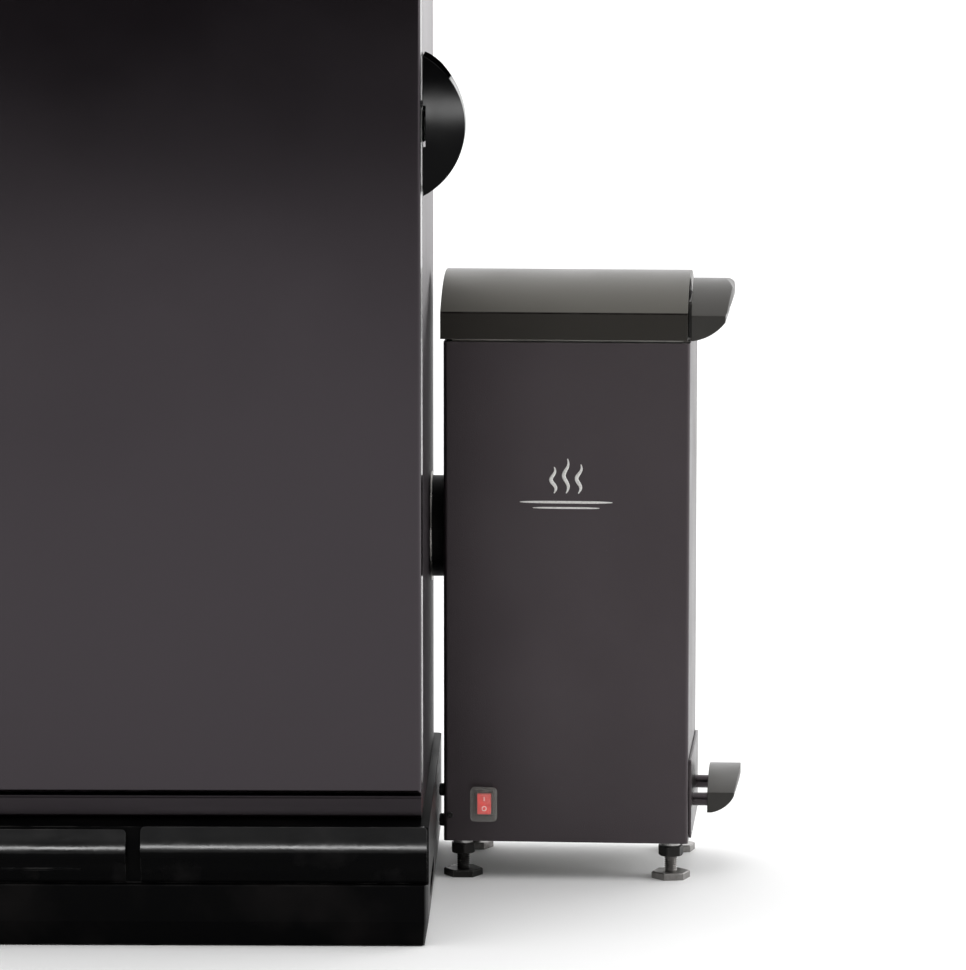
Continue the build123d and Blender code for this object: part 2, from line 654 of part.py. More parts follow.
def chip_tray():
    """Wood chip tray on four legs above the heating element."""
    x = (CHIP_TRAY_AT[0] - CHIP_TRAY_W / 2, CHIP_TRAY_AT[0] + CHIP_TRAY_W / 2)
    y = (CHIP_TRAY_AT[1] - CHIP_TRAY_D / 2, CHIP_TRAY_AT[1] + CHIP_TRAY_D / 2)
    z = (CHIP_TRAY_Z, CHIP_TRAY_Z + CHIP_TRAY_H)
    box = block(x, y, z) - block(grown(x, -1.2), grown(y, -1.2), (z[0] + 1.2, z[1] + 1))
    rim = block(grown(x, 6), grown(y, 6), (z[1] - 1.2, z[1])) - block(x, y, grown(z, 2))
    legs = [
        block(
            (px, px + 8) if px == x[0] else (px - 8, px),
            (py, py + 1.2) if py == y[0] else (py - 1.2, py),
            (PAN_Z[0] + 1.1, z[0] + 0.5),
        )
        for px in x
        for py in y
    ]
    return Part() + box + rim + legs


def heating_element():
    """Sheathed loop heater that enters through the back wall."""
    front_y = CHIP_TRAY_AT[1] - CHIP_TRAY_D / 2 + 30
    left, right = ELEMENT_X - ELEMENT_SPREAD, ELEMENT_X + ELEMENT_SPREAD
    end = SHELL_Y[1] + 4
    path = FilletPolyline(
        (left, end, ELEMENT_Z),
        (left, front_y, ELEMENT_Z),
        (right, front_y, ELEMENT_Z),
        (right, end, ELEMENT_Z),
        radius=24,
    )
    loop = sweep(Plane(origin=path @ 0, z_dir=path % 0) * Circle(ELEMENT_R), path=path)
    flange = block(
        (left - 16, right + 16), (ROOM_Y[1] - 2.2, ROOM_Y[1] - 0.2), (ELEMENT_Z - 16, ELEMENT_Z + 16)
    )
    return loop + flange


# ---------------------------------------------------------------- door
def door_skin():
    """Folded outer pan of the door, with soft front edges."""
    outer = block((-HALF_W, HALF_W), DOOR_Y, DOOR_Z)
    front = outer.faces().sort_by(Axis.Y)[0]
    outer = fillet(front.edges() + vertical_edges(outer).group_by(Axis.Y)[0], 3)
    inner = block(
        grown((-HALF_W, HALF_W), -SHEET), (DOOR_Y[0] + SHEET, DOOR_Y[1] + 1), grown(DOOR_Z, -SHEET)
    )
    front = inner.faces().sort_by(Axis.Y)[0]
    inner = fillet(front.edges(), 3 - SHEET)
    return outer - inner


PLUG_X = ROOM_X - PLUG_INSET
PLUG_Z = grown(ROOM_Z, -PLUG_INSET)


def door_liner():
    """Stainless inner panel of the door, raised in the middle."""
    plate = block(grown((-HALF_W, HALF_W), -SHEET), (DOOR_Y[1] - LINER_SHEET, DOOR_Y[1]), grown(DOOR_Z, -SHEET))
    raised = block((-PLUG_X, PLUG_X), (DOOR_Y[1] - LINER_SHEET, DOOR_Y[1] + PLUG_DEPTH), PLUG_Z)
    raised = fillet(raised.edges().filter_by(Axis.Y), 12)
    raised = fillet(raised.faces().sort_by(Axis.Y)[-1].edges(), 3)
    pocket = block(
        grown((-PLUG_X, PLUG_X), -LINER_SHEET),
        (DOOR_Y[1] - 2, DOOR_Y[1] + PLUG_DEPTH - LINER_SHEET),
        grown(PLUG_Z, -LINER_SHEET),
    )
    pocket = fillet(pocket.edges().filter_by(Axis.Y), 12 - LINER_SHEET)
    pocket = fillet(pocket.faces().sort_by(Axis.Y)[-1].edges(), 3 - LINER_SHEET)
    return plate + raised - pocket


def door_insulation():
    """Mineral wool inside the door."""
    return block(
        grown((-HALF_W, HALF_W), -SHEET - 1),
        (DOOR_Y[0] + SHEET + 1, DOOR_Y[1] - LINER_SHEET - 0.2),
        grown(DOOR_Z, -SHEET - 1),
    )


SEAL_X = HALF_W - SEAL_INSET
SEAL_Z = (DOOR_Z[0] + 1, DOOR_Z[1] - SEAL_INSET + 3)


def door_seal():
    """Fibre seal round the door's inner side."""
    seal_z = (ROOM_Z[0] - 8, ROOM_Z[1] + SEAL_W)
    y = (DOOR_Y[1], FRAME_Y - SEAL_CLEAR)
    outer = block((-SEAL_X, SEAL_X), y, seal_z)
    outer = fillet(outer.edges().filter_by(Axis.Y), 10)
    inner = block(
        grown((-SEAL_X, SEAL_X), -SEAL_W), grown(y, 1), (seal_z[0] + 9, seal_z[1] - SEAL_W)
    )
    inner = fillet(inner.edges().filter_by(Axis.Y), 5)
    return outer - inner


# ---------------------------------------------------------------- door hinges
KNUCKLE_R = 4.5
DOOR_PIN_R = 2.5
DOOR_LEAF_T = 2.0
LEAF_H = 54.0
LEAF_REACH = 30.0
HINGE_X = -(HALF_W + DOOR_LEAF_T / 2 + KNUCKLE_R)
HINGE_Y = (DOOR_Y[1] + FRAME_Y) / 2
HINGE_ZS = (DOOR_Z[0] + 75, DOOR_Z[1] - 75)
KNUCKLE_GAP = 0.4


def hinge_thirds(z):
    """Heights of a hinge's lower, middle and upper knuckles."""
    third = LEAF_H / 3
    low = z - LEAF_H / 2
    return [(low + i * third + KNUCKLE_GAP, low + (i + 1) * third - KNUCKLE_GAP) for i in range(3)]


def body_hinge_leaf(z):
    lower, middle, upper = hinge_thirds(z)
    plate = block(
        (-HALF_W - DOOR_LEAF_T, -HALF_W), (SHELL_Y[0] + 1, SHELL_Y[0] + 1 + LEAF_REACH), (lower[0], upper[1])
    )
    leaf = Part() + plate
    for limits in (lower, upper):
        tongue = block((-HALF_W - DOOR_LEAF_T, -HALF_W - 0.3), (HINGE_Y, SHELL_Y[0] + 2), limits)
        leaf += [tongue, rod_z(HINGE_X, HINGE_Y, limits, KNUCKLE_R)]
    return leaf - rod_z(HINGE_X, HINGE_Y, (lower[0] - 1, upper[1] + 1), DOOR_PIN_R)


def door_hinge_leaf(z):
    lower, middle, upper = hinge_thirds(z)
    plate = block(
        (-HALF_W - DOOR_LEAF_T, -HALF_W), (DOOR_Y[1] - 4 - LEAF_REACH, DOOR_Y[1] - 4), (lower[0], upper[1])
    )
    tongue = block((-HALF_W - DOOR_LEAF_T, -HALF_W), (DOOR_Y[1] - 5, HINGE_Y), middle)
    leaf = Part() + [plate, tongue, rod_z(HINGE_X, HINGE_Y, middle, KNUCKLE_R)]
    return leaf - rod_z(HINGE_X, HINGE_Y, grown(middle, 1), DOOR_PIN_R + RUN_CLEAR)


# ---------------------------------------------------------------- latch
LEVER_X = HALF_W + LATCH_OFFSET
LEVER_Y = (DOOR_Y[0] + 6, DOOR_Y[0] + 6 + LATCH_LENGTH)
LATCH_AXIS = (LEVER_X + 7.4, LEVER_Y[1] - 8)
HOOK_AXIS = (LATCH_AXIS[0] + 4, LATCH_AXIS[1] - 27)
KEEPER_Y = DOOR_Y[0] + 24
LATCH_RADIUS = (LATCH_CHORD**2 / 4 + LATCH_PROUD**2) / (2 * LATCH_PROUD)


def segment_prism(radius_change, y, x_start):
    """Half-moon bar along Y: the part of a round bar that lies outside a plane beside the cabinet."""
    centre_x = LEVER_X + LATCH_PROUD - LATCH_RADIUS
    bar = rod_y(centre_x, y, LATCH_Z, LATCH_RADIUS + radius_change)
    reach = (x_start, LEVER_X + LATCH_PROUD + 10)
    return bar & block(reach, grown(y, 1), grown((LATCH_Z, LATCH_Z), LATCH_CHORD))


def lever_plan(shrink, x_start):
    """Outline of the lever from above: deep at the front, slim and round at its pivot."""
    y0, y1 = LEVER_Y[0] + shrink, LEVER_Y[1]
    round_r = 6.4 - shrink * 0.4
    outline = [
        (x_start, y0),
        (LEVER_X + LATCH_PROUD + 2 - shrink, y0),
        (LEVER_X + LATCH_PROUD + 2 - shrink, y0 + 34),
        (LATCH_AXIS[0] + round_r, LATCH_AXIS[1]),
        (LATCH_AXIS[0], LATCH_AXIS[1]),
        (x_start, LATCH_AXIS[1]),
    ]
    z0 = LATCH_Z - LATCH_CHORD
    body = outline_prism(outline, Plane.XY, z0, 2 * LATCH_CHORD)
    end = rod_z(*LATCH_AXIS, (z0, z0 + 2 * LATCH_CHORD), round_r)
    return body + end if shrink == 0 else body


def front_bulge(shrink):
    """Side outline of the lever, with a front edge that bulges forward."""
    half = LATCH_CHORD / 2 + 1
    y0, y1 = LEVER_Y[0] + shrink, LEVER_Y[1] + 5
    edges = [
        ThreePointArc((y0 + LATCH_BULGE, LATCH_Z - half), (y0, LATCH_Z), (y0 + LATCH_BULGE, LATCH_Z + half)),
        Line((y0 + LATCH_BULGE, LATCH_Z + half), (y1, LATCH_Z + half)),
        Line((y1, LATCH_Z + half), (y1, LATCH_Z - half)),
        Line((y1, LATCH_Z - half), (y0 + LATCH_BULGE, LATCH_Z - half)),
    ]
    return side_profile(edges, (LEVER_X - 20, LEVER_X + LATCH_PROUD + 5))


LATCH_HALF_GRIP = 15.0  # half the height of the bracket, pivot and hook


def latch_lever():
    """Half-moon latch lever, hollow on the side that faces the cabinet."""
    outer = segment_prism(0, LEVER_Y, LEVER_X) & lever_plan(0, LEVER_X) & front_bulge(0)
    hollow = (
        segment_prism(-LATCH_WALL, LEVER_Y, LEVER_X - 5)
        & lever_plan(LATCH_WALL, LEVER_X - 5)
        & front_bulge(LATCH_WALL)
    )
    ears = [
        rod_z(*LATCH_AXIS, (z, z + 5), 6.2)
        for z in (LATCH_Z + LATCH_HALF_GRIP + 0.5, LATCH_Z - LATCH_HALF_GRIP - 5.5)
    ]
    notch = block(
        (LEVER_X - 1, HALF_W + KEEPER_RIDGE + 1.2), (LEVER_Y[0] - 1, LEVER_Y[0] + 16), grown((LATCH_Z, LATCH_Z), 15)
    )
    gap = rod_z(*LATCH_AXIS, (LATCH_Z - LATCH_HALF_GRIP - 0.4, LATCH_Z + LATCH_HALF_GRIP + 0.4), 9)
    bore = rod_z(*LATCH_AXIS, (LATCH_Z - 30, LATCH_Z + 30), LATCH_PIN_R + RUN_CLEAR)
    hook_pin = rod_z(*HOOK_AXIS, (LATCH_Z - 8.5, LATCH_Z + 8.5), 1.8)
    cheeks = [
        block(
            (HOOK_AXIS[0] - 4, HOOK_AXIS[0] + 22),
            (HOOK_AXIS[1] - 4, HOOK_AXIS[1] + 4),
            (z, z + 2),
        )
        for z in (LATCH_Z + 6.5, LATCH_Z - 8.5)
    ]
    cheeks = [cheek & outer for cheek in cheeks]
    return outer - hollow + ears - notch - gap - bore + cheeks + hook_pin


def latch_hook():
    """Sprung hook whose rounded nose snaps in front of the keeper's ridge."""
    thickness = 1.6
    z = (LATCH_Z - 6, LATCH_Z + 6)
    eye = rod_z(*HOOK_AXIS, z, 3.8)
    x_strip = HOOK_AXIS[0] - 2.2
    nose_y = KEEPER_Y - KEEPER_RIDGE - 0.5 - 1.8
    strip = block((x_strip, x_strip + thickness), (nose_y - 1, HOOK_AXIS[1]), z)
    nose_tip = HALF_W + KEEPER_RIDGE + HOOK_LIFT
    nose = block((nose_tip + 1.8, x_strip + thickness), (nose_y - 1.8, nose_y + 1.8), z)
    tip = rod_z(nose_tip + 1.8, nose_y, z, 1.8)
    return eye + strip + nose + tip - rod_z(*HOOK_AXIS, grown(z, 1), 1.8 + RUN_CLEAR)


def latch_keeper():
    """Keeper plate on the door's edge, with a rounded ridge."""
    plate = block((HALF_W, HALF_W + 0.6), (KEEPER_Y - 7, KEEPER_Y + 14), grown((LATCH_Z, LATCH_Z), 12))
    ridge = rod_z(HALF_W, KEEPER_Y, grown((LATCH_Z, LATCH_Z), 11), KEEPER_RIDGE)
    ridge = ridge & block((HALF_W, HALF_W + 5), grown((KEEPER_Y, KEEPER_Y), 5), grown((LATCH_Z, LATCH_Z), 12))
    return plate + ridge


def latch_base():
    """Bracket on the cabinet's side with the barrel that holds the lever's pivot."""
    z = grown((LATCH_Z, LATCH_Z), LATCH_HALF_GRIP)
    plate = block((HALF_W, HALF_W + 1.0), (LATCH_AXIS[1] - 12, LATCH_AXIS[1] + 30), z)
    web = block((HALF_W, LATCH_AXIS[0]), (LATCH_AXIS[1] - 2.5, LATCH_AXIS[1] + 2.5), z)
    barrel = rod_z(*LATCH_AXIS, z, 4.6)
    return plate + web + barrel - rod_z(*LATCH_AXIS, grown(z, 1), LATCH_PIN_R)


def hinge_pins():
    """Pins of the two door hinges and of the latch."""
    pins = []
    for z in HINGE_ZS:
        lower, middle, upper = hinge_thirds(z)
        pins.append(rod_z(HINGE_X, HINGE_Y, (lower[0], upper[1]), DOOR_PIN_R))
    pins.append(rod_z(*LATCH_AXIS, grown((LATCH_Z, LATCH_Z), LATCH_HALF_GRIP + 5.5), LATCH_PIN_R))
    return Compound(children=pins)


# ---------------------------------------------------------------- smoke box
DRAWER_X = (BOX_X[0] + 56.0, BOX_X[1] + 0.3)
DRAWER_Y = grown(BOX_Y, -12.0)
PARTITION_X = DRAWER_X[0] - 4
SWITCH_AT = (BOX_X[0] + SWITCH_X, BOX_Y[0], SWITCH_Z)


def smoke_housing():
    """Wrap of painted sheet round the smoke box, with soft upright edges."""
    outer = block(BOX_X, BOX_Y, BOX_Z)
    outer = fillet(vertical_edges(outer), BOX_CORNER_R)
    inner = block(grown(BOX_X, -SHEET), grown(BOX_Y, -SHEET), grown(BOX_Z, 1))
    inner = fillet(vertical_edges(inner), BOX_CORNER_R - SHEET)
    port = askew(rod_x((BOX_X[0] - 8, BOX_X[0] + 16), PORT_Y, PORT_Z, SPIGOT_R + 0.1), BOX_TURN)
    drawer_hole = block(
        (BOX_X[1] - 4, BOX_X[1] + 2),
        grown(DRAWER_Y, DRAWER_CLEAR),
        (DRAWER_Z - DRAWER_CLEAR, DRAWER_Z + DRAWER_H + DRAWER_CLEAR),
    )
    switch_hole = Pos(SWITCH_AT[0], SWITCH_AT[1], SWITCH_Z) * Box(BEZEL_W - 1.4, 6, BEZEL_H - 1.6)
    return outer - inner - port - drawer_hole - switch_hole


def foot_places():
    return [
        (x, y)
        for y in (BOX_Y[0] + FOOT_INSET_Y, BOX_Y[1] - FOOT_INSET_Y)
        for x in (BOX_X[0] + FOOT_INSET_X, BOX_X[1] - FOOT_INSET_X)
    ]


FLOOR_Z = (BOX_Z[0] + 0.5, BOX_Z[0] + 2.5)


def smoke_floor():
    """Floor plate with tapped bosses, the drawer's rails and a partition that shields the switch."""
    x, y = grown(BOX_X, -SHEET - 0.1), grown(BOX_Y, -SHEET - 0.1)
    plate = block(x, y, FLOOR_Z)
    plate = fillet(vertical_edges(plate), BOX_CORNER_R - SHEET)
    partition = block((PARTITION_X, PARTITION_X + 1.2), grown(y, -3), (FLOOR_Z[1], HOPPER_BOTTOM - 3))
    bosses = [rod_z(px, py, (NUT_Z + NUT_H + 0.2, FLOOR_Z[0]), BOSS_R) for px, py in foot_places()]
    studs = [rod_z(px, py, (NUT_Z, FLOOR_Z[1] + 13), STUD_R + RUN_CLEAR) for px, py in foot_places()]
    rails = [
        block((PARTITION_X + 1.2, x[1]), sorted((edge, edge + side * 4)), (FLOOR_Z[1], DRAWER_Z - 0.1))
        for edge, side in ((DRAWER_Y[0], 1), (DRAWER_Y[1], -1))
    ]
    terminals = [
        rod_x((PARTITION_X - 2, PARTITION_X + 4), BOX_MID[1] + s * HEATER_LEG, HEATER_Z, HEATER_R + 0.3)
        for s in (-1, 1)
    ]
    return plate + partition + bosses + rails - studs - terminals


HEATER_Z = 104.0
HEATER_R = 3.2
HEATER_LEG = 26.0


def smoke_element():
    """Small loop heater under the hopper; its cold ends pass through the partition."""
    y0, y1 = BOX_MID[1] - HEATER_LEG, BOX_MID[1] + HEATER_LEG
    start, far = PARTITION_X - 14, BOX_MID[0] + 36
    path = FilletPolyline(
        (start, y0, HEATER_Z), (far, y0, HEATER_Z), (far, y1, HEATER_Z), (start, y1, HEATER_Z), radius=20
    )
    return sweep(Plane(origin=path @ 0, z_dir=path % 0) * Circle(HEATER_R), path=path)


COLLAR_Z = (BOX_Z[1] - 4, BOX_Z[1] - 2.5)


def smoke_collar():
    """Top plate inside the box's mouth, with a rim that stands up inside the lid."""
    x, y = grown(BOX_X, -SHEET - 0.1), grown(BOX_Y, -SHEET - 0.1)
    plate = fillet(vertical_edges(block(x, y, COLLAR_Z)), BOX_CORNER_R - SHEET)
    rim_x, rim_y = grown(x, -5), grown(y, -5)
    rim = block(rim_x, rim_y, (COLLAR_Z[0], LID_Z0 + 8))
    rim = rim - block(grown(rim_x, -1.5), grown(rim_y, -1.5), (COLLAR_Z[0] - 1, LID_Z0 + 9))
    mouth = rod_z(*BOX_MID, grown(COLLAR_Z, 1), HOPPER_R + 0.5)
    return plate + rim - mouth


def chip_hopper():
    """Lift-out hopper: a tube with a flange, a drilled floor and slots near its foot."""
    top = COLLAR_Z[1]
    tube = rod_z(0, 0, (HOPPER_BOTTOM, top + 1.2), HOPPER_R)
    bore = rod_z(0, 0, (HOPPER_BOTTOM + HOPPER_T, top + 3), HOPPER_R - HOPPER_T)
    flange = rod_z(0, 0, (top, top + 1.2), HOPPER_R + 6)
    holes = [
        Rot(0, 0, i * 360 / n) * rod_z(r, 0, (HOPPER_BOTTOM - 1, HOPPER_BOTTOM + 3), 3.5)
        for r, n in ((0, 1), (15, 6), (30, 12), (43, 16))
        for i in range(n)
    ]
    slots = [
        Rot(0, 0, i * 36)
        * block((-HOPPER_R - 2, HOPPER_R + 2), (-2, 2), (HOPPER_BOTTOM + 12 + 30 * row, HOPPER_BOTTOM + 34 + 30 * row))
        for i in range(5)
        for row in range(2)
    ]
    return Pos(*BOX_MID, 0) * (tube + flange - bore - holes - slots)


def smoke_spigot():
    """Tube that carries the smoke into the port, with the stop collar seen between the two boxes.

    It lies square to the cabinet, and its inner flange lies against the box's own wall.
    """
    x = (ROOM_X - SPIGOT_REACH, BOX_X[0] + 14)
    tube = rod_x(x, PORT_Y, PORT_Z, SPIGOT_R)
    stop = rod_x((HALF_W + 1.5, BOX_X[0] + 10), PORT_Y, PORT_Z, COLLAR_R)
    stop = stop - askew(block((BOX_X[0], BOX_X[0] + 40), BOX_Y, BOX_Z))
    inside = askew(rod_x((BOX_X[0] + SHEET, BOX_X[0] + SHEET + 1.5), PORT_Y, PORT_Z, SPIGOT_R + 4))
    bore = rod_x((x[0] - 1, x[1] + 5), PORT_Y, PORT_Z, SPIGOT_R - SPIGOT_T)
    return tube + stop + inside - bore


def side_bumpers():
    """Two rubber buttons that keep the smoke box off the cabinet's base."""
    gap = (HALF_BASE + 1.0, BOX_X[0])
    buttons = []
    for z in (SWITCH_Z + 8, SWITCH_Z - 16):
        disc = rod_x(gap, BOX_Y[0] + 12, z, 5)
        buttons.append(fillet(disc.edges().sort_by(Axis.X)[0], 1.5))
    return Compound(children=buttons)


def foot(place, turn):
    """Levelling foot: a hexagonal pad on a threaded stud."""
    pad = extrude(Rot(0, 0, turn) * RegularPolygon(FOOT_AF / 2, 6, major_radius=False), FOOT_H)
    pad = chamfer(pad.faces().sort_by(Axis.Z)[-1].edges(), 0.8)
    root = STUD_R - THREAD_DEPTH
    top = FLOOR_Z[1] + 12
    turns = int((top - FOOT_H) / THREAD_PITCH)
    outline = [(0, FOOT_H - 1), (root, FOOT_H - 1), (root, FOOT_H)]
    for i in range(turns):
        z = FOOT_H + i * THREAD_PITCH
        outline += [(root, z + 0.2), (STUD_R, z + 0.7), (STUD_R, z + 1.0), (root, z + 1.5)]
    outline += [(root, top), (0, top)]
    stud = revolve(Plane.XZ * make_face(Polyline(*outline, close=True)), Axis.Z)
    return Pos(*place, 0) * (pad + stud)


def lock_nuts():
    """Lock nuts on the four studs."""
    nuts = []
    for turn, (x, y) in zip((40, 15.5, 15, 5), foot_places()):
        nut = extrude(Rot(0, 0, turn) * RegularPolygon(NUT_AF / 2, 6, major_radius=False), NUT_H)
        nut = nut & Pos(0, 0, NUT_H / 2) * chamfer(Cylinder(NUT_AF / 2 * 1.12, NUT_H).edges(), 1.0)
        bore = Cylinder(STUD_R + RUN_CLEAR, 40)
        nuts.append(Pos(x, y, NUT_Z) * (nut - bore))
    return Compound(children=nuts)


# ---------------------------------------------------------------- smoke box drawer
PLATE_X = (BOX_X[1] + 0.3, BOX_X[1] + 0.3 + DRAWER_PLATE_T)
PLATE_Z = (BOX_Z[0] + 3.5, DRAWER_Z + DRAWER_H + 8)
POST_Z = 59.5
DRAWER_GRIP_X = PLATE_X[1] + HANDLE_POST_L


def ash_drawer():
    """Ash drawer: a folded tray behind a flat front plate, with two posts for its handle."""
    tray_z = (DRAWER_Z, DRAWER_Z + DRAWER_H)
    box = block(DRAWER_X, DRAWER_Y, tray_z)
    hollow = block(
        (DRAWER_X[0] + SHEET, DRAWER_X[1] - SHEET), grown(DRAWER_Y, -SHEET), (tray_z[0] + SHEET, tray_z[1] + 1)
    )
    plate = block(PLATE_X, grown(BOX_Y, -5), PLATE_Z)
    plate = fillet(plate.edges().filter_by(Axis.X), 3)
    posts = [
        rod_x((PLATE_X[1], DRAWER_GRIP_X), BOX_MID[1] + s * HANDLE_POST_PITCH / 2, POST_Z, HANDLE_POST_R)
        for s in (-1, 1)
    ]
    return box - hollow + plate + posts


def bow_grip(x0, y_mid, length, front_curve, sizes, side_rise, plan_bow):
    """Moulded grip made as the common part of three outlines: from the front, the side and above.

    sizes holds the grip's reach and height; side_rise holds the height of its upright ends and
    of its crest; plan_bow holds its reach at the ends and in the middle.
    """
    reach, height, z0 = sizes
    y0, y1 = y_mid - length / 2, y_mid + length / 2
    front = make_face(Curve() + front_curve)
    front_bar = extrude(Plane.XZ.offset(-y1) * Pos(x0, z0) * front, length)
    end_z, crest_z = z0 + side_rise[0], z0 + side_rise[1]
    side = [
        Line((y0, z0), (y0, end_z)),
        ThreePointArc((y0, end_z), (y_mid, crest_z), (y1, end_z)),
        Line((y1, end_z), (y1, z0)),
        Line((y1, z0), (y0, z0)),
    ]
    side_bar = side_profile(side, (x0 - 1, x0 + reach + 5))
    plan = Curve() + [
        Line((x0, y1), (x0, y0)),
        Line((x0, y0), (x0 + plan_bow[0], y0)),
        ThreePointArc((x0 + plan_bow[0], y0), (x0 + plan_bow[1], y_mid), (x0 + plan_bow[0], y1)),
        Line((x0 + plan_bow[0], y1), (x0, y1)),
    ]
    plan_bar = extrude(Plane.XY.offset(z0 - 1) * make_face(plan), height + 2)
    return front_bar & side_bar & plan_bar


def drawer_handle():
    """Grip of the ash drawer."""
    curve = [
        Line((0, 30), (0, 0)),
        Line((0, 0), (3, 0)),
        ThreePointArc((3, 0), (15, 5.6), (20.4, 12)),
        Line((20.4, 12), (26.5, 27)),
        Line((26.5, 27), (26.5, 30)),
        Line((26.5, 30), (0, 30)),
    ]
    grip = bow_grip(
        DRAWER_GRIP_X, BOX_MID[1], 104, curve, (26.5, 30, POST_Z - 8.2), (16, 29), (21, 24.6)
    )
    pocket = block(
        (DRAWER_GRIP_X + 4, DRAWER_GRIP_X + 16), grown((BOX_MID[1], BOX_MID[1]), 46), (POST_Z - 20, POST_Z + 8)
    )
    return grip - pocket


# ---------------------------------------------------------------- smoke box lid
LID_X = (BOX_X[0] - LID_LEFT_OUT, BOX_X[1] - LID_RIGHT_IN)
LID_CREST = (BOX_Y[0] + (LID_FRONT_R**2 - (LID_FRONT_R - LID_ARCH) ** 2) ** 0.5, CREASE_Z + LID_ARCH)


def lid_profile(inset):
    """Side outline of the lid, moved inwards by an inset."""
    y0, y1 = BOX_Y[0] + inset, BOX_Y[1] - inset
    crest = (LID_CREST[0], LID_CREST[1] - inset)
    radius = LID_FRONT_R - inset
    centre = (LID_CREST[0], LID_CREST[1] - LID_FRONT_R)
    front_z = centre[1] + (radius**2 - (centre[0] - y0) ** 2) ** 0.5
    half = atan2(front_z - centre[1], y0 - centre[0])
    mid_angle = (half + radians(90)) / 2
    front_mid = (centre[0] + radius * cos(mid_angle), centre[1] + radius * sin(mid_angle))
    run = y1 - crest[0]
    back_radius = (run**2 + (LID_BACK_DROP - inset * 0.3) ** 2) / (2 * (LID_BACK_DROP - inset * 0.3))
    back_z = crest[1] - (LID_BACK_DROP - inset * 0.3)
    back_mid_y = crest[0] + run / 2
    back_mid = (back_mid_y, crest[1] - back_radius + (back_radius**2 - (run / 2) ** 2) ** 0.5)
    low = LID_Z0 - (1 if inset else 0)
    return [
        Line((y0, low), (y0, front_z)),
        ThreePointArc((y0, front_z), front_mid, crest),
        ThreePointArc(crest, back_mid, (y1, back_z)),
        Line((y1, back_z), (y1, low)),
        Line((y1, low), (y0, low)),
    ]


LID_HINGE = (BOX_Y[1] + HINGE_R + 0.5, BOX_Z[1] + LID_GAP / 2)
LID_HINGE_XS = (BOX_X[0] + 40, BOX_X[1] - 40)
LID_KNUCKLE = 14.0


def lid_knuckles(owner):
    """X limits of the hinge knuckles that belong to the box or to the lid."""
    limits = []
    for x in LID_HINGE_XS:
        if owner == "lid":
            limits.append((x - LID_KNUCKLE / 2, x + LID_KNUCKLE / 2))
        else:
            limits.append((x - 1.5 * LID_KNUCKLE, x - LID_KNUCKLE / 2 - 0.5))
            limits.append((x + LID_KNUCKLE / 2 + 0.5, x + 1.5 * LID_KNUCKLE))
    return limits


def smoke_lid():
    """Arched lid with closed ends and the lid's own hinge knuckles welded to its back."""
    shell = side_profile(lid_profile(0), LID_X)
    hollow = side_profile(lid_profile(LID_T), grown(LID_X, -LID_T))
    lid = shell - hollow
    for x in lid_knuckles("lid"):
        strap = block(x, (BOX_Y[1], BOX_Y[1] + LEAF_T), (LID_HINGE[1] - 1, CREASE_Z - 4))
        lid += [strap, rod_x(x, *LID_HINGE, HINGE_R)]
    return lid - [rod_x(grown(x, 1), *LID_HINGE, HINGE_PIN_R + RUN_CLEAR) for x in lid_knuckles("lid")]


def lid_hinge():
    """Leaves of the lid's two hinges on the box's back, with their pins."""
    leaves = []
    for x_mid in LID_HINGE_XS:
        leaf = block(
            (x_mid - 1.5 * LID_KNUCKLE, x_mid + 1.5 * LID_KNUCKLE),
            (BOX_Y[1], BOX_Y[1] + LEAF_T),
            (LID_HINGE[1] - 34, LID_HINGE[1] - HINGE_R - 1),
        )
        knuckles = [x for x in lid_knuckles("box") if abs(sum(x) / 2 - x_mid) < 2 * LID_KNUCKLE]
        for x in knuckles:
            tongue = block(x, (BOX_Y[1], BOX_Y[1] + LEAF_T), (LID_HINGE[1] - HINGE_R - 2, BOX_Z[1] - 0.3))
            leaf = leaf + tongue + rod_x(x, *LID_HINGE, HINGE_R)
        ends = (x_mid - 1.5 * LID_KNUCKLE, x_mid + 1.5 * LID_KNUCKLE)
        leaves.append(leaf - rod_x(grown(ends, 1), *LID_HINGE, HINGE_PIN_R))
        leaves.append(rod_x(ends, *LID_HINGE, HINGE_PIN_R))
    return Compound(children=leaves)


LID_GRIP_X = LID_X[1] + 2.6


def lid_handle():
    """Grip on the lid's right end, with the flat pad that spaces it off the lid."""
    curve = [
        Line((0, 44.9), (0, 0)),
        Line((0, 0), (1.5, 0)),
        ThreePointArc((1.5, 0), (15.6, 5), (26.3, 14.5)),
        Line((26.3, 14.5), (26.6, 20.5)),
        ThreePointArc((26.6, 20.5), (30.3, 27.4), (31.8, 35)),
        ThreePointArc((31.8, 35), (29.2, 41.9), (21.5, 44.9)),
        Line((21.5, 44.9), (0, 44.9)),
    ]
    y_mid = BOX_Y[0] + 56
    z0 = LID_Z0 - 0.5
    grip = bow_grip(LID_GRIP_X, y_mid, 104, curve, (32, 44.9, z0), (19.6, 44.5), (27, 32))
    pocket = block((LID_GRIP_X + 4, LID_GRIP_X + 18), grown((y_mid, y_mid), 44), (z0 - 1, z0 + 26))
    pad = block((LID_X[1], LID_GRIP_X), grown((y_mid, y_mid), 44), (z0 + 2, z0 + 30))
    return grip - pocket + pad


# ---------------------------------------------------------------- rocker switch
ROCKER_AXIS_Y = SWITCH_AT[1] + 1.5


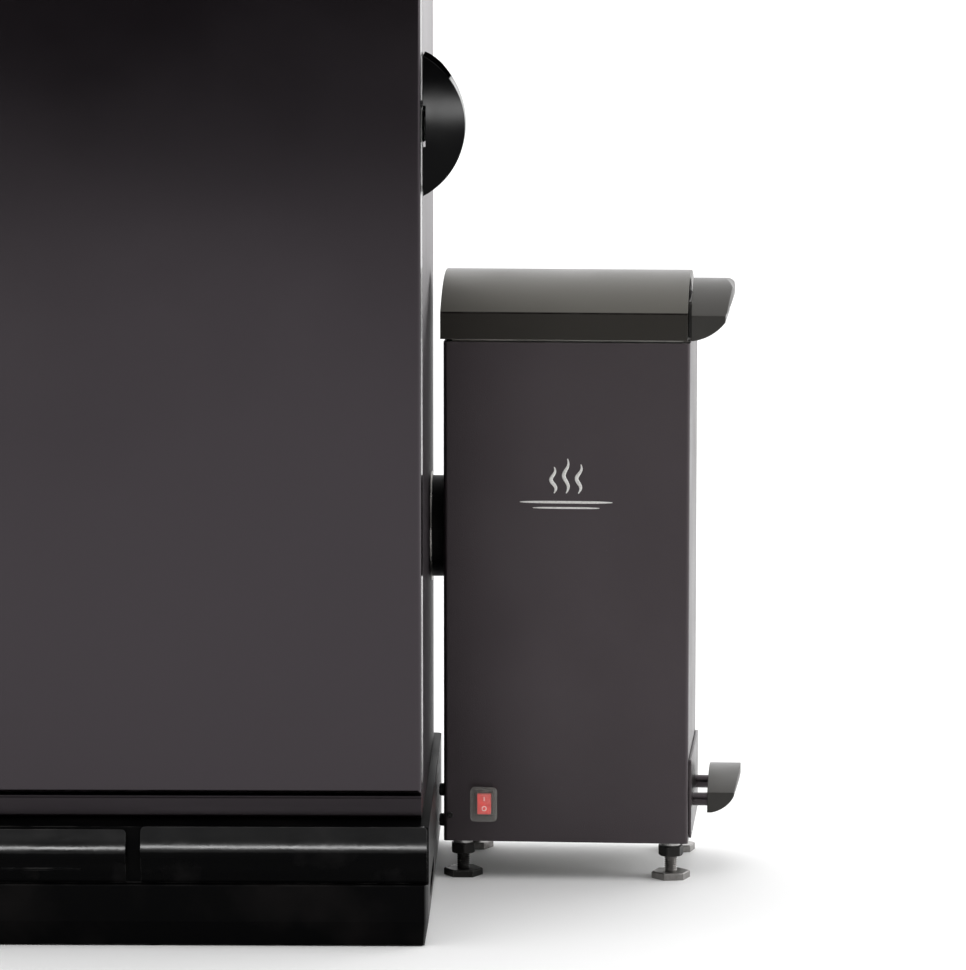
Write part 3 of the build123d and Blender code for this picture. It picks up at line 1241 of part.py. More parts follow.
def switch_body():
    """Snap-in body of the rocker switch, with its bezel and three terminals."""
    x, y, z = SWITCH_AT
    bezel = block(
        grown((x, x), BEZEL_W / 2), (y - BEZEL_T, y), grown((z, z), BEZEL_H / 2)
    )
    bezel = fillet(bezel.edges().filter_by(Axis.Y), 1.5)
    can = block(grown((x, x), BEZEL_W / 2 - 0.8), (y, y + 16), grown((z, z), BEZEL_H / 2 - 0.9))
    well = block(grown((x, x), ROCKER_W / 2 + 0.3), (y - 3, y + 11), grown((z, z), ROCKER_H / 2 + 1.0))
    tabs = [block((x - 2.4, x + 2.4), (y + 15.5, y + 24), (z + dz - 0.4, z + dz + 0.4)) for dz in (-6, 0, 6)]
    pins = rod_x(grown((x, x), ROCKER_W / 2 + 1.3), ROCKER_AXIS_Y, z, 1.0 + RUN_CLEAR)
    return bezel + can - well - pins + tabs


def switch_rocker():
    """Rocker with two sloping faces, tipped to its upper position."""
    x, _, z = SWITCH_AT
    reach, dip = 5.8, 3.4
    half = ROCKER_H / 2
    outline = [
        (-reach, -half),
        (-dip, 0),
        (-reach, half),
        (3.5, half - 1.5),
        (6.5, 0),
        (3.5, -half + 1.5),
    ]
    bar = outline_prism(outline, Plane.YZ, -ROCKER_W / 2, ROCKER_W)
    bar += rod_x(grown((0, 0), ROCKER_W / 2 + 1.2), 0, 0, 1.0)
    return Pos(x, ROCKER_AXIS_Y, z) * Rot(ROCKER_SLOPE, 0, 0) * bar


def switch_boot():
    """Clear splash cover over the switch."""
    x, y, z = SWITCH_AT
    outer = block(grown((x, x), BOOT_W / 2), (y - BOOT_DEPTH, y), grown((z, z), BOOT_H / 2))
    outer = fillet(outer.edges().filter_by(Axis.Y), 3.5)
    outer = fillet(outer.faces().sort_by(Axis.Y)[0].edges(), 1.5)
    inner = block(
        grown((x, x), BOOT_W / 2 - BOOT_T),
        (y - BOOT_DEPTH + BOOT_T, y + 1),
        grown((z, z), BOOT_H / 2 - BOOT_T),
    )
    inner = fillet(inner.edges().filter_by(Axis.Y), 2.3)
    return outer - inner


# ---------------------------------------------------------------- screws
def pan_head(radius):
    """Pan head with a cross recess, standing on the origin and facing up."""
    height = radius * 0.6
    head = rod_z(0, 0, (0, height), radius)
    head = fillet(head.edges().sort_by(Axis.Z)[-1], height * 0.6)
    slots = [Rot(0, 0, a) * Pos(0, 0, height) * Box(radius * 1.1, radius * 0.24, height * 0.8) for a in (45, 135)]
    return head - slots


def faced(direction, x, y, z):
    """A place with its Z axis turned to one of the four sides."""
    turns = {"front": Rot(90, 0, 0), "back": Rot(-90, 0, 0), "left": Rot(0, -90, 0), "right": Rot(0, 90, 0)}
    return Pos(x, y, z) * turns[direction]


def cabinet_screws():
    """Screws of the door hinges' body leaves, the latch bracket and the rear cover."""
    screw = pan_head(3.2)
    leaf_y = (SHELL_Y[0] + 12, SHELL_Y[0] + 24)
    places = [
        faced("left", -HALF_W - DOOR_LEAF_T, y, z + dz)
        for z in HINGE_ZS
        for dz in (-LEAF_H / 3, LEAF_H / 3)
        for y in leaf_y
    ]
    places += [faced("right", HALF_W + 1.0, LATCH_AXIS[1] + 20, LATCH_Z + dz) for dz in (-9, 9)]
    places += [
        faced("back", ELEMENT_X + dx, SHELL_Y[1] + 8, (REAR_COVER_Z[0] + REAR_COVER_Z[1]) / 2 + dz)
        for dx in (-66, 66)
        for dz in (-41, 41)
    ]
    return Compound(children=[place * screw for place in places])


def door_screws():
    """Screws of the door's hinge leaves and of the latch keeper."""
    screw = pan_head(3.2)
    leaf_y = (DOOR_Y[1] - 4 - LEAF_REACH + 7, DOOR_Y[1] - 4 - LEAF_REACH + 20)
    places = [
        faced("left", -HALF_W - DOOR_LEAF_T, y, z + dz)
        for z in HINGE_ZS
        for dz in (-LEAF_H / 3, LEAF_H / 3)
        for y in leaf_y
    ]
    return Compound(children=[place * screw for place in places])


def smoke_box_screws():
    """Screws of the smoke box: low on its front, at its partition and on the lid hinges' leaves."""
    screw = pan_head(2.4)
    places = [faced("front", BOX_X[0] + 5.1, BOX_Y[0], SWITCH_Z - 10)]
    places += [
        faced("back", x + dx, BOX_Y[1] + LEAF_T, LID_HINGE[1] - 20)
        for x in LID_HINGE_XS
        for dx in (-12, 12)
    ]
    places += [faced("back", x, BOX_Y[1], BOX_Z[0] + 10) for x in (BOX_X[0] + 20, BOX_X[1] - 20)]
    return Compound(children=[place * screw for place in places])


# ---------------------------------------------------------------- every piece, by name
FOOT_NAMES = ("foot_front_left", "foot_front_right", "foot_back_left", "foot_back_right")
SMOKE_BOX_PIECES = (
    "smoke_housing",
    "smoke_floor",
    "smoke_collar",
    "smoke_element",
    "chip_hopper",
    "side_bumpers",
    "ash_drawer",
    "drawer_handle",
    "smoke_lid",
    "lid_hinge",
    "lid_handle",
    "switch_body",
    "switch_rocker",
    "switch_boot",
    "smoke_box_fasteners",
    *FOOT_NAMES,
)


def build():
    pieces = {
        "base_housing": base_housing(),
        "base_feet": base_feet(),
        "grease_tray": grease_tray(),
        "ash_tray": ash_tray(),
        "outer_shell": outer_shell(),
        "inner_liner": inner_liner(),
        "wall_insulation": wall_insulation(),
        "front_frame": front_frame(),
        "port_sleeve": port_sleeve(),
        "rear_cover": rear_cover(),
        "top_cover": top_cover(),
        "control_housing": control_housing(),
        "control_panel": control_panel(),
        "display_lens": display_lens(),
        "vent_stack": vent_stack(),
        "damper_cap": damper_cap(),
        "rack_supports": Compound(children=[rack_support(-1), rack_support(1)]),
        "drip_pan": drip_pan(),
        "water_bowl": water_bowl(),
        "chip_tray": chip_tray(),
        "heating_element": heating_element(),
        "door_skin": door_skin(),
        "door_liner": door_liner(),
        "door_insulation": door_insulation(),
        "door_seal": door_seal(),
        "body_hinge_leaves": Compound(children=[body_hinge_leaf(z) for z in HINGE_ZS]),
        "door_hinge_leaves": Compound(children=[door_hinge_leaf(z) for z in HINGE_ZS]),
        "hinge_pins": hinge_pins(),
        "latch_base": latch_base(),
        "latch_lever": latch_lever(),
        "latch_hook": latch_hook(),
        "latch_keeper": latch_keeper(),
        "smoke_housing": smoke_housing(),
        "smoke_floor": smoke_floor(),
        "smoke_collar": smoke_collar(),
        "smoke_element": smoke_element(),
        "chip_hopper": chip_hopper(),
        "smoke_spigot": smoke_spigot(),
        "side_bumpers": side_bumpers(),
        "ash_drawer": ash_drawer(),
        "drawer_handle": drawer_handle(),
        "smoke_lid": smoke_lid(),
        "lid_hinge": lid_hinge(),
        "lid_handle": lid_handle(),
        "switch_body": switch_body(),
        "switch_rocker": switch_rocker(),
        "switch_boot": switch_boot(),
        "cabinet_screws": cabinet_screws(),
        "door_screws": door_screws(),
        "smoke_box_fasteners": Compound(children=[smoke_box_screws(), lock_nuts()]),
    }
    for name, place in zip(BUTTON_NAMES, BUTTON_PLACES):
        pieces[name] = button(place)
    one_rack = rack()
    for i, z in enumerate(RACK_ZS):
        pieces[f"rack_{i + 1}"] = Pos(0, 0, z) * one_rack
    for name, place, turn in zip(FOOT_NAMES, foot_places(), (3.5, 12.5, 5, 18)):
        pieces[name] = foot(place, turn)
    return {name: askew(piece) if name in SMOKE_BOX_PIECES else piece for name, piece in pieces.items()}


PIECES = build()
LIMITS = [piece.bounding_box() for piece in PIECES.values()]
ORIGIN = (
    (min(b.min.X for b in LIMITS) + max(b.max.X for b in LIMITS)) / 2,
    (min(b.min.Y for b in LIMITS) + max(b.max.Y for b in LIMITS)) / 2,
)

os.makedirs("parts", exist_ok=True)
for piece_name, piece in PIECES.items():
    placed = Pos(-ORIGIN[0], -ORIGIN[1], 0) * piece
    export_step(bodies_of(placed), f"parts/{piece_name}.step")
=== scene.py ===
from math import atan2, cos, pi, radians, sin

import bmesh
import bpy
from mathutils import Euler, Matrix, Vector


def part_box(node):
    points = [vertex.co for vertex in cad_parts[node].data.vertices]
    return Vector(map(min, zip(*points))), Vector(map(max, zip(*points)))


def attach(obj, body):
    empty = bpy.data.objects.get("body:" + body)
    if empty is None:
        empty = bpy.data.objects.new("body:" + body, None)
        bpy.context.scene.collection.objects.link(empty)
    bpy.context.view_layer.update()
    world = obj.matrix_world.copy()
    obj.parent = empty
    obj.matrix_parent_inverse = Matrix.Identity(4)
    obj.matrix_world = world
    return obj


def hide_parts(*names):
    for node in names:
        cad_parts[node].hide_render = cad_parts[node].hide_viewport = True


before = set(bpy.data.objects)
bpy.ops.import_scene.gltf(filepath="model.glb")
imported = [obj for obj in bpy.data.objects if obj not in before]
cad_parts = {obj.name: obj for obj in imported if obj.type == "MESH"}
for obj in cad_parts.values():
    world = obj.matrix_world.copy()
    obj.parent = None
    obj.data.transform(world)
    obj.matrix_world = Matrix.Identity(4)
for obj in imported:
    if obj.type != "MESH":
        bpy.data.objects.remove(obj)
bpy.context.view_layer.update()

MM = 0.001

# ---------------------------------------------------------------- base housing
# The base is one black moulding that carries the cabinet and holds both trays. It is a tough
# polypropylene with a fine spark texture, dulled by handling round its lower edge.


def put(material, kind, inputs=None, **settings):
    """A new shader node whose inputs are numbers or other nodes' outputs."""
    made = material.node_tree.nodes.new(kind)
    for name, value in settings.items():
        setattr(made, name, value)
    for name, value in (inputs or {}).items():
        if isinstance(value, bpy.types.NodeSocket):
            material.node_tree.links.new(value, made.inputs[name])
        else:
            made.inputs[name].default_value = value
    return made


def shader_of(material):
    """The material's own shader."""
    return material.node_tree.nodes["Principled BSDF"]


def finish(name, colour, roughness, metallic=0.0, specular=0.5):
    """A new finish with its even values set on the shader itself."""
    material = bpy.data.materials.new(name)
    material.use_nodes = True
    shader = shader_of(material)
    shader.inputs["Base Color"].default_value = (*colour, 1)
    shader.inputs["Roughness"].default_value = roughness
    shader.inputs["Metallic"].default_value = metallic
    shader.inputs["Specular IOR Level"].default_value = specular
    return material


def place(material, stretch=(1, 1, 1)):
    """Object coordinates, drawn out along an axis for a brushed or fibrous pattern."""
    where = put(material, "ShaderNodeTexCoord").outputs["Object"]
    return put(material, "ShaderNodeMapping", {"Vector": where, "Scale": stretch}).outputs[0]


def noise(material, scale, detail=3.0, stretch=(1, 1, 1), roughness=0.5):
    """Cloudy noise over the piece, from 0 to 1."""
    return put(
        material,
        "ShaderNodeTexNoise",
        {"Vector": place(material, stretch), "Scale": scale, "Detail": detail, "Roughness": roughness},
    ).outputs["Fac"]


def normal_in(material, made, socket="Normal"):
    """Puts a normal-making node last in the chain that ends at the shader."""
    target = shader_of(material).inputs["Normal"]
    links = material.node_tree.links
    if target.links and socket in made.inputs:
        links.new(target.links[0].from_socket, made.inputs[socket])
    links.new(made.outputs["Normal"], target)


def soft_edges(material, radius):
    """Rounds the light on edges, as a coat of paint or a mould's radius does."""
    normal_in(material, put(material, "ShaderNodeBevel", {"Radius": radius}, samples=4))


def leaning(material, axis, between, values):
    """A value that changes with the way a face leans."""
    normal = put(material, "ShaderNodeTexCoord").outputs["Normal"]
    lean = put(material, "ShaderNodeSeparateXYZ", {"Vector": normal}).outputs[axis]
    return put(
        material,
        "ShaderNodeMapRange",
        {
            "Value": lean,
            "From Min": between[0],
            "From Max": between[1],
            "To Min": values[0],
            "To Max": values[1],
        },
    ).outputs[0]


def painted_light_by_slope(material, axis, between, values):
    """Lets the gloss change with the way a face leans, to paint light and shade by the way each face
    turns.
    """
    painted_gloss = leaning(material, axis, between, values)
    material.node_tree.links.new(painted_gloss, shader_of(material).inputs["Specular IOR Level"])


def grain(material, scale, distance, strength=1.0, detail=3.0, stretch=(1, 1, 1)):
    """Fine relief from noise; distance is its real height in metres."""
    height = noise(material, scale, detail, stretch)
    relief = {"Height": height, "Distance": distance, "Strength": strength}
    normal_in(material, put(material, "ShaderNodeBump", relief))


def uneven(material, socket, scale, low, high, detail=4.0, stretch=(1, 1, 1), span=(0.3, 0.7)):
    """Lets a socket drift between two values over the surface."""
    drift = put(
        material,
        "ShaderNodeMapRange",
        {
            "Value": noise(material, scale, detail, stretch),
            "From Min": span[0],
            "From Max": span[1],
            "To Min": low,
            "To Max": high,
        },
    )
    material.node_tree.links.new(drift.outputs[0], shader_of(material).inputs[socket])


def blend_colour(material, factor, colour):
    """Lays a colour over what the base colour has so far."""
    target = shader_of(material).inputs["Base Color"]
    mix = put(material, "ShaderNodeMix", {"Factor": factor, "B": (*colour, 1)}, data_type="RGBA")
    links = material.node_tree.links
    if target.links:
        links.new(target.links[0].from_socket, mix.inputs["A"])
    else:
        mix.inputs["A"].default_value = target.default_value
    links.new(mix.outputs["Result"], target)


def mottle(material, colour, scale, low=0.4, high=0.7, most=1.0, detail=4.0, stretch=(1, 1, 1)):
    """Lets the base colour drift towards another in soft patches."""
    patch = put(
        material,
        "ShaderNodeMapRange",
        {
            "Value": noise(material, scale, detail, stretch),
            "From Min": low,
            "From Max": high,
            "To Min": 0.0,
            "To Max": most,
        },
    )
    blend_colour(material, patch.outputs[0], colour)


def edge_wear_and_highlight(material, radius, colour, most=0.6, scale=60):
    """Thin pale edges where a rounded normal leaves the true one, broken up by noise: rubbed wear on
    most finishes, and a painted highlight on the splash cover's rim.
    """
    true = put(material, "ShaderNodeNewGeometry").outputs["Normal"]
    soft = put(material, "ShaderNodeBevel", {"Radius": radius}, samples=4).outputs["Normal"]
    turn = put(
        material, "ShaderNodeVectorMath", {0: true, 1: soft}, operation="DOT_PRODUCT"
    ).outputs["Value"]
    edge = put(
        material,
        "ShaderNodeMapRange",
        {"Value": turn, "From Min": 0.985, "From Max": 0.90, "To Min": 0.0, "To Max": most},
    ).outputs[0]
    broken = put(
        material,
        "ShaderNodeMapRange",
        {"Value": noise(material, scale, 5), "From Min": 0.42, "From Max": 0.62},
    ).outputs[0]
    factor = put(material, "ShaderNodeMath", {0: edge, 1: broken}, operation="MULTIPLY").outputs[0]
    blend_colour(material, factor, colour)


def specks(material, scale, colour, size=0.08, most=0.5):
    """Sparse specks of settled dirt that sit in the grain."""
    cells = put(material, "ShaderNodeTexVoronoi", {"Vector": place(material), "Scale": scale})
    near = put(
        material,
        "ShaderNodeMapRange",
        {
            "Value": cells.outputs["Distance"],
            "From Min": size,
            "From Max": size * 0.4,
            "To Min": 0.0,
            "To Max": most,
        },
    ).outputs[0]
    some = put(
        material,
        "ShaderNodeMapRange",
        {"Value": noise(material, scale * 0.13, 2), "From Min": 0.58, "From Max": 0.66},
    ).outputs[0]
    factor = put(material, "ShaderNodeMath", {0: near, 1: some}, operation="MULTIPLY").outputs[0]
    blend_colour(material, factor, colour)


def dress(material, *names):
    """Gives CAD nodes their finish."""
    for name in names:
        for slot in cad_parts[name].material_slots:
            slot.material = material


base_plastic = finish("base_plastic", (0.0008, 0.0008, 0.0009), 0.36, specular=0.02)
soft_edges(base_plastic, 1.0 * MM)
grain(base_plastic, 1400, 0.00004, 0.5)
uneven(base_plastic, "Roughness", 9, 0.36, 0.5)
mottle(base_plastic, (0.004, 0.0035, 0.0035), 14, 0.5, 0.75)
edge_wear_and_highlight(base_plastic, 1.2 * MM, (0.05, 0.048, 0.046), 0.5)
# Faces turned to the right get far more gloss: a painted highlight on the base's right side.
painted_light_by_slope(base_plastic, "X", (0.3, 0.7), (0.02, 0.7))
dress(base_plastic, "base_housing")

pad_rubber = finish("pad_rubber", (0.011, 0.011, 0.011), 0.75, specular=0.25)
grain(pad_rubber, 900, 0.00008)
uneven(pad_rubber, "Roughness", 60, 0.65, 0.85)
mottle(pad_rubber, (0.05, 0.048, 0.045), 35, 0.55, 0.8)
dress(pad_rubber, "base_feet", "side_bumpers")

# ---------------------------------------------------------------- front trays
# Two plastic trays slide into the base and show rounded pull lips across its front. They are
# moulded in the same black but polished, so the lips catch a long highlight.
tray_plastic = finish("tray_plastic", (0.0008, 0.0008, 0.0009), 0.2, specular=0.08)
soft_edges(tray_plastic, 0.7 * MM)
grain(tray_plastic, 240, 0.00005, 0.35, detail=2)
grain(tray_plastic, 2200, 0.00001, 0.35)
uneven(tray_plastic, "Roughness", 22, 0.17, 0.25)
mottle(tray_plastic, (0.007, 0.0065, 0.0065), 25, 0.55, 0.8)
specks(tray_plastic, 260, (0.18, 0.17, 0.16), 0.06, 0.4)
edge_wear_and_highlight(tray_plastic, 0.8 * MM, (0.07, 0.068, 0.065), 0.5)
# Faces that do not lean upwards lose most of their gloss: painted shade on the lips' fronts and
# undercuts.
painted_light_by_slope(tray_plastic, "Z", (0.02, 0.14), (0.03, 0.3))
dress(tray_plastic, "grease_tray", "ash_tray")

# ---------------------------------------------------------------- cabinet shell and door skin
# Pressed steel sheets in satin black powder coat: the shell, the front frame and rail, the cap
# and the door's outer pan. Thin coat over flat sheet, so light drifts slowly over each face.


def satin_black(name, roughness, specular):
    """Thin black powder coat over flat sheet."""
    paint = finish(name, (0.0022, 0.0014, 0.002), roughness, specular=specular)
    shader_of(paint).inputs["Specular Tint"].default_value = (1.0, 0.88, 0.97, 1)
    soft_edges(paint, 0.8 * MM)
    grain(paint, 3.2, 0.0012, 0.22, detail=1)
    grain(paint, 1300, 0.000018, 0.5)
    uneven(paint, "Roughness", 5, roughness - 0.03, roughness + 0.04)
    mottle(paint, (0.0045, 0.0034, 0.0036), 4, 0.45, 0.75)
    specks(paint, 150, (0.12, 0.115, 0.11), 0.03, 0.15)
    edge_wear_and_highlight(paint, 0.9 * MM, (0.16, 0.155, 0.15), 0.6)
    return paint


door_paint = satin_black("door_paint", 0.13, 0.56)
cabinet_paint = satin_black("cabinet_paint", 0.3, 0.4)
shell_paint = satin_black("shell_paint", 0.5, 0.42)
dress(door_paint, "door_skin")
dress(shell_paint, "outer_shell")
dress(
    cabinet_paint,
    "front_frame",
    "top_cover",
    "rear_cover",
    "body_hinge_leaves",
    "door_hinge_leaves",
)

# ---------------------------------------------------------------- chamber steel
# The liner, door liner, port sleeve, supports and drip pan are stainless sheet with a fine
# horizontal brush, browned a little by smoke where it is hottest.
liner_steel = finish("liner_steel", (0.55, 0.53, 0.5), 0.3, metallic=1.0)
soft_edges(liner_steel, 0.5 * MM)
grain(liner_steel, 900, 0.00002, 0.6, detail=4, stretch=(0.02, 0.02, 1))
uneven(liner_steel, "Roughness", 300, 0.22, 0.42, stretch=(0.03, 0.03, 1))
mottle(liner_steel, (0.3, 0.22, 0.13), 5, 0.45, 0.75, 0.55)
specks(liner_steel, 90, (0.08, 0.05, 0.03), 0.1, 0.5)
dress(
    liner_steel,
    "inner_liner",
    "door_liner",
    "port_sleeve",
    "rack_supports",
    "drip_pan",
    "vent_stack",
    "smoke_collar",
)

# ---------------------------------------------------------------- racks
# Welded wire racks in bright chrome plate, a little dulled where food has rested.
rack_chrome = finish("rack_chrome", (0.72, 0.72, 0.73), 0.14, metallic=1.0)
grain(rack_chrome, 500, 0.00002, 0.5)
uneven(rack_chrome, "Roughness", 40, 0.1, 0.3)
mottle(rack_chrome, (0.4, 0.33, 0.24), 18, 0.55, 0.8, 0.6)
dress(rack_chrome, "rack_1", "rack_2", "rack_3")

# ---------------------------------------------------------------- bowl and chip tray
# Pressed steel in speckled black enamel: the water bowl and the cabinet's own chip tray.
enamel = finish("enamel", (0.007, 0.007, 0.008), 0.16, specular=0.6)
soft_edges(enamel, 0.5 * MM)
grain(enamel, 160, 0.00005, 0.5, detail=2)
uneven(enamel, "Roughness", 30, 0.12, 0.28)
specks(enamel, 420, (0.35, 0.35, 0.36), 0.16, 0.8)
dress(enamel, "water_bowl", "chip_tray")

# ---------------------------------------------------------------- heaters
# Sheathed loop heaters: a steel tube turned dark and straw coloured by heat.
heater_sheath = finish("heater_sheath", (0.11, 0.1, 0.095), 0.45, metallic=1.0)
grain(heater_sheath, 700, 0.00004)
uneven(heater_sheath, "Roughness", 50, 0.35, 0.6)
mottle(heater_sheath, (0.25, 0.16, 0.09), 26, 0.5, 0.75, 0.8)
dress(heater_sheath, "heating_element", "smoke_element")

# ---------------------------------------------------------------- insulation
# Mineral wool batts, packed between shell and liner and inside the door.
mineral_wool = finish("mineral_wool", (0.6, 0.53, 0.33), 0.95, specular=0.1)
grain(mineral_wool, 260, 0.0008, 1.0, detail=6, stretch=(1, 1, 0.2))
mottle(mineral_wool, (0.42, 0.34, 0.2), 60, 0.4, 0.7)
dress(mineral_wool, "wall_insulation", "door_insulation")

# ---------------------------------------------------------------- door seal
# Black braided fibre rope pressed flat and held round the door's liner.
seal_fibre = finish("seal_fibre", (0.013, 0.013, 0.013), 0.85, specular=0.2)
braid = put(
    seal_fibre,
    "ShaderNodeTexWave",
    {"Vector": place(seal_fibre, (1, 1, 1)), "Scale": 160, "Distortion": 2.0, "Detail": 2},
    bands_direction="DIAGONAL",
).outputs["Fac"]
weave = {"Height": braid, "Distance": 0.0004, "Strength": 0.8}
normal_in(seal_fibre, put(seal_fibre, "ShaderNodeBump", weave))
grain(seal_fibre, 1200, 0.0002)
mottle(seal_fibre, (0.05, 0.045, 0.04), 30, 0.5, 0.8)
dress(seal_fibre, "door_seal")

# ---------------------------------------------------------------- small plated hardware
# Hinge pins, hook and keeper, the damper cap and the smoke box's floor plate with its nuts are zinc
# plated steel: pale, cloudy and slightly crystalline. Screws and the lid hinge are black oxide.
zinc = finish("zinc", (0.5, 0.5, 0.49), 0.34, metallic=1.0)
soft_edges(zinc, 0.3 * MM)
grain(zinc, 800, 0.00003, 0.6)
uneven(zinc, "Roughness", 120, 0.26, 0.46)
mottle(zinc, (0.32, 0.31, 0.3), 140, 0.4, 0.7, 0.8)
dress(zinc, "hinge_pins", "latch_hook", "latch_keeper", "smoke_floor", "damper_cap")

black_oxide = finish("black_oxide", (0.022, 0.021, 0.02), 0.42, metallic=0.7)
soft_edges(black_oxide, 0.3 * MM)
grain(black_oxide, 900, 0.00004)
uneven(black_oxide, "Roughness", 90, 0.32, 0.55)
edge_wear_and_highlight(black_oxide, 0.4 * MM, (0.25, 0.24, 0.23), 0.7, 200)
dress(black_oxide, "cabinet_screws", "door_screws", "smoke_box_fasteners", "lid_hinge")

# ---------------------------------------------------------------- latch lever
# The half-moon lever is moulded in gloss black, thick walled and hollow behind, and pivots in
# the bracket on the cabinet's side.
latch_gloss = finish("latch_gloss", (0.0006, 0.0006, 0.0007), 0.15, specular=0.06)
# Faces that lean upwards lose their gloss: painted shade along the lever's top edge.
painted_light_by_slope(latch_gloss, "Z", (0.25, 0.6), (0.06, 0.0))
soft_edges(latch_gloss, 1.0 * MM)
grain(latch_gloss, 60, 0.00012, 0.3, detail=1)
uneven(latch_gloss, "Roughness", 30, 0.13, 0.22)
specks(latch_gloss, 330, (0.1, 0.1, 0.1), 0.06, 0.3)
edge_wear_and_highlight(latch_gloss, 1.0 * MM, (0.04, 0.04, 0.04), 0.4)
dress(latch_gloss, "latch_lever")

# ---------------------------------------------------------------- control console
# A textured plastic console on the cap, with a glossy overlay plate, a tinted window and three
# grey keys. Plain marks for power, heat and time are printed over the keys.
console_plastic = finish("console_plastic", (0.012, 0.012, 0.013), 0.5, specular=0.4)
soft_edges(console_plastic, 0.8 * MM)
grain(console_plastic, 1000, 0.00006)
uneven(console_plastic, "Roughness", 15, 0.42, 0.56)
edge_wear_and_highlight(console_plastic, 0.8 * MM, (0.05, 0.05, 0.05), 0.4)
dress(console_plastic, "control_housing")

overlay_gloss = finish("overlay_gloss", (0.006, 0.006, 0.007), 0.14, specular=0.5)
grain(overlay_gloss, 300, 0.00001, 0.4)
uneven(overlay_gloss, "Roughness", 20, 0.1, 0.2)
specks(overlay_gloss, 300, (0.2, 0.2, 0.2), 0.05, 0.3)
dress(overlay_gloss, "control_panel")

key_plastic = finish("key_plastic", (0.16, 0.16, 0.165), 0.38)
soft_edges(key_plastic, 0.4 * MM)
grain(key_plastic, 1500, 0.00003)
mottle(key_plastic, (0.1, 0.1, 0.1), 90, 0.5, 0.8)
dress(key_plastic, "power_button", "temperature_button", "timer_button")

window_tint = finish("window_tint", (0.01, 0.013, 0.016), 0.07, specular=0.6)
grain(window_tint, 90, 0.00001, 0.3)
uneven(window_tint, "Roughness", 30, 0.05, 0.12)
dress(window_tint, "display_lens")

console_low, console_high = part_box("control_panel")
rise_of_panel = Vector((0, console_high.y - console_low.y, console_high.z - console_low.z))
slope = pi / 2 - rise_of_panel.angle((0, 0, 1))
lens_low, lens_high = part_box("display_lens")
panel_turn = Matrix.Rotation(slope, 4, "X")


def on_console(across, up, out=0.0):
    """A place on the console's slope, from the overlay's middle."""
    middle = (console_low + console_high) / 2
    face = Vector((0, -sin(slope), cos(slope)))
    return middle + Vector((across, up * cos(slope), up * sin(slope))) + face * (0.6 * MM + out)


def meshed(curve_object):
    """The same shape as a mesh object at the origin."""
    mesh = bpy.data.meshes.new_from_object(curve_object)
    made = bpy.data.objects.new(curve_object.name + "_mesh", mesh)
    bpy.data.objects.remove(curve_object)
    bpy.context.collection.objects.link(made)
    made.name = made.name.replace("_mesh", "")
    return made


def line(name, strokes, thickness, flat=1.0):
    """Round strokes drawn in the X-Y plane; each stroke is (points, closed, widths)."""
    curve = bpy.data.curves.new(name, "CURVE")
    curve.dimensions = "3D"
    curve.bevel_depth = thickness
    curve.bevel_resolution = 2
    curve.use_fill_caps = True
    for points, closed, widths in strokes:
        spline = curve.splines.new("NURBS")
        spline.points.add(len(points) - 1)
        for point, (x, y), width in zip(spline.points, points, widths or [1] * len(points)):
            point.co = (x, y, 0, 1)
            point.radius = width
        spline.use_cyclic_u = closed
        spline.use_endpoint_u = not closed
        spline.order_u = 4 if len(points) > 3 else 2
        spline.resolution_u = 10
    made = bpy.data.objects.new(name, curve)
    bpy.context.collection.objects.link(made)
    made = meshed(made)
    made.data.transform(Matrix.Scale(flat, 4, (0, 0, 1)))
    return made


def ring(radius, start=0.0, turn=360.0, steps=12):
    """Points round a circle, for a drawn stroke."""
    count = steps if turn >= 360 else steps + 1
    angles = [radians(start + turn * i / steps) for i in range(count)]
    return [(radius * cos(angle), radius * sin(angle)) for angle in angles]


def shifted(points, x, y):
    """The same points, moved in the drawing's plane."""
    return [(px + x, py + y) for px, py in points]


mark_ink = finish("mark_ink", (0.55, 0.55, 0.53), 0.5)
grain(mark_ink, 2500, 0.00001)
mottle(mark_ink, (0.4, 0.4, 0.39), 400, 0.5, 0.8)

MARK_UP = 17 * MM
power_low, power_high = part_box("power_button")
first_key = (power_low.x + power_high.x) / 2
pitch = 30 * MM
marks = [
    (ring(2.4 * MM, 120, 300), False, None),
    ([(0, 0.6 * MM), (0, 3.4 * MM)], False, None),
    (shifted(ring(1.3 * MM), pitch, -1.4 * MM), True, None),
    ([(pitch, -0.4 * MM), (pitch, 3.2 * MM)], False, None),
    (shifted(ring(2.5 * MM), 2 * pitch, 0), True, None),
    ([(2 * pitch, 1.6 * MM), (2 * pitch, 0), (2 * pitch + 1.2 * MM, 0)], False, None),
]
console_marks = line("console_marks", marks, 0.28 * MM, flat=0.3)
console_marks.data.transform(Matrix.Translation(on_console(first_key, MARK_UP)) @ panel_turn)
console_marks.data.materials.append(mark_ink)
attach(console_marks, "cabinet")

SEGMENT = 6.4 * MM
digit_mesh = bmesh.new()
for digit in range(3):
    centre = (digit - 1) * 13 * MM
    for across, up, upright in (
        (0, 1, False),
        (0, 0, False),
        (0, -1, False),
        (-0.5, 0.5, True),
        (0.5, 0.5, True),
        (-0.5, -0.5, True),
        (0.5, -0.5, True),
    ):
        bar = bmesh.ops.create_cube(digit_mesh, size=1)["verts"]
        long, thin = SEGMENT * 0.82, 1.1 * MM
        size = (thin, long, 0.1 * MM) if upright else (long, thin, 0.1 * MM)
        bmesh.ops.scale(digit_mesh, vec=size, verts=bar)
        bmesh.ops.translate(digit_mesh, vec=(centre + across * SEGMENT, up * SEGMENT, 0), verts=bar)
edges = [
    edge
    for edge in digit_mesh.edges
    if abs(edge.verts[0].co.z - edge.verts[1].co.z) > 0.05 * MM
]
bmesh.ops.bevel(
    digit_mesh, geom=edges, offset=0.35 * MM, segments=2, profile=0.5, affect="EDGES", material=-1
)
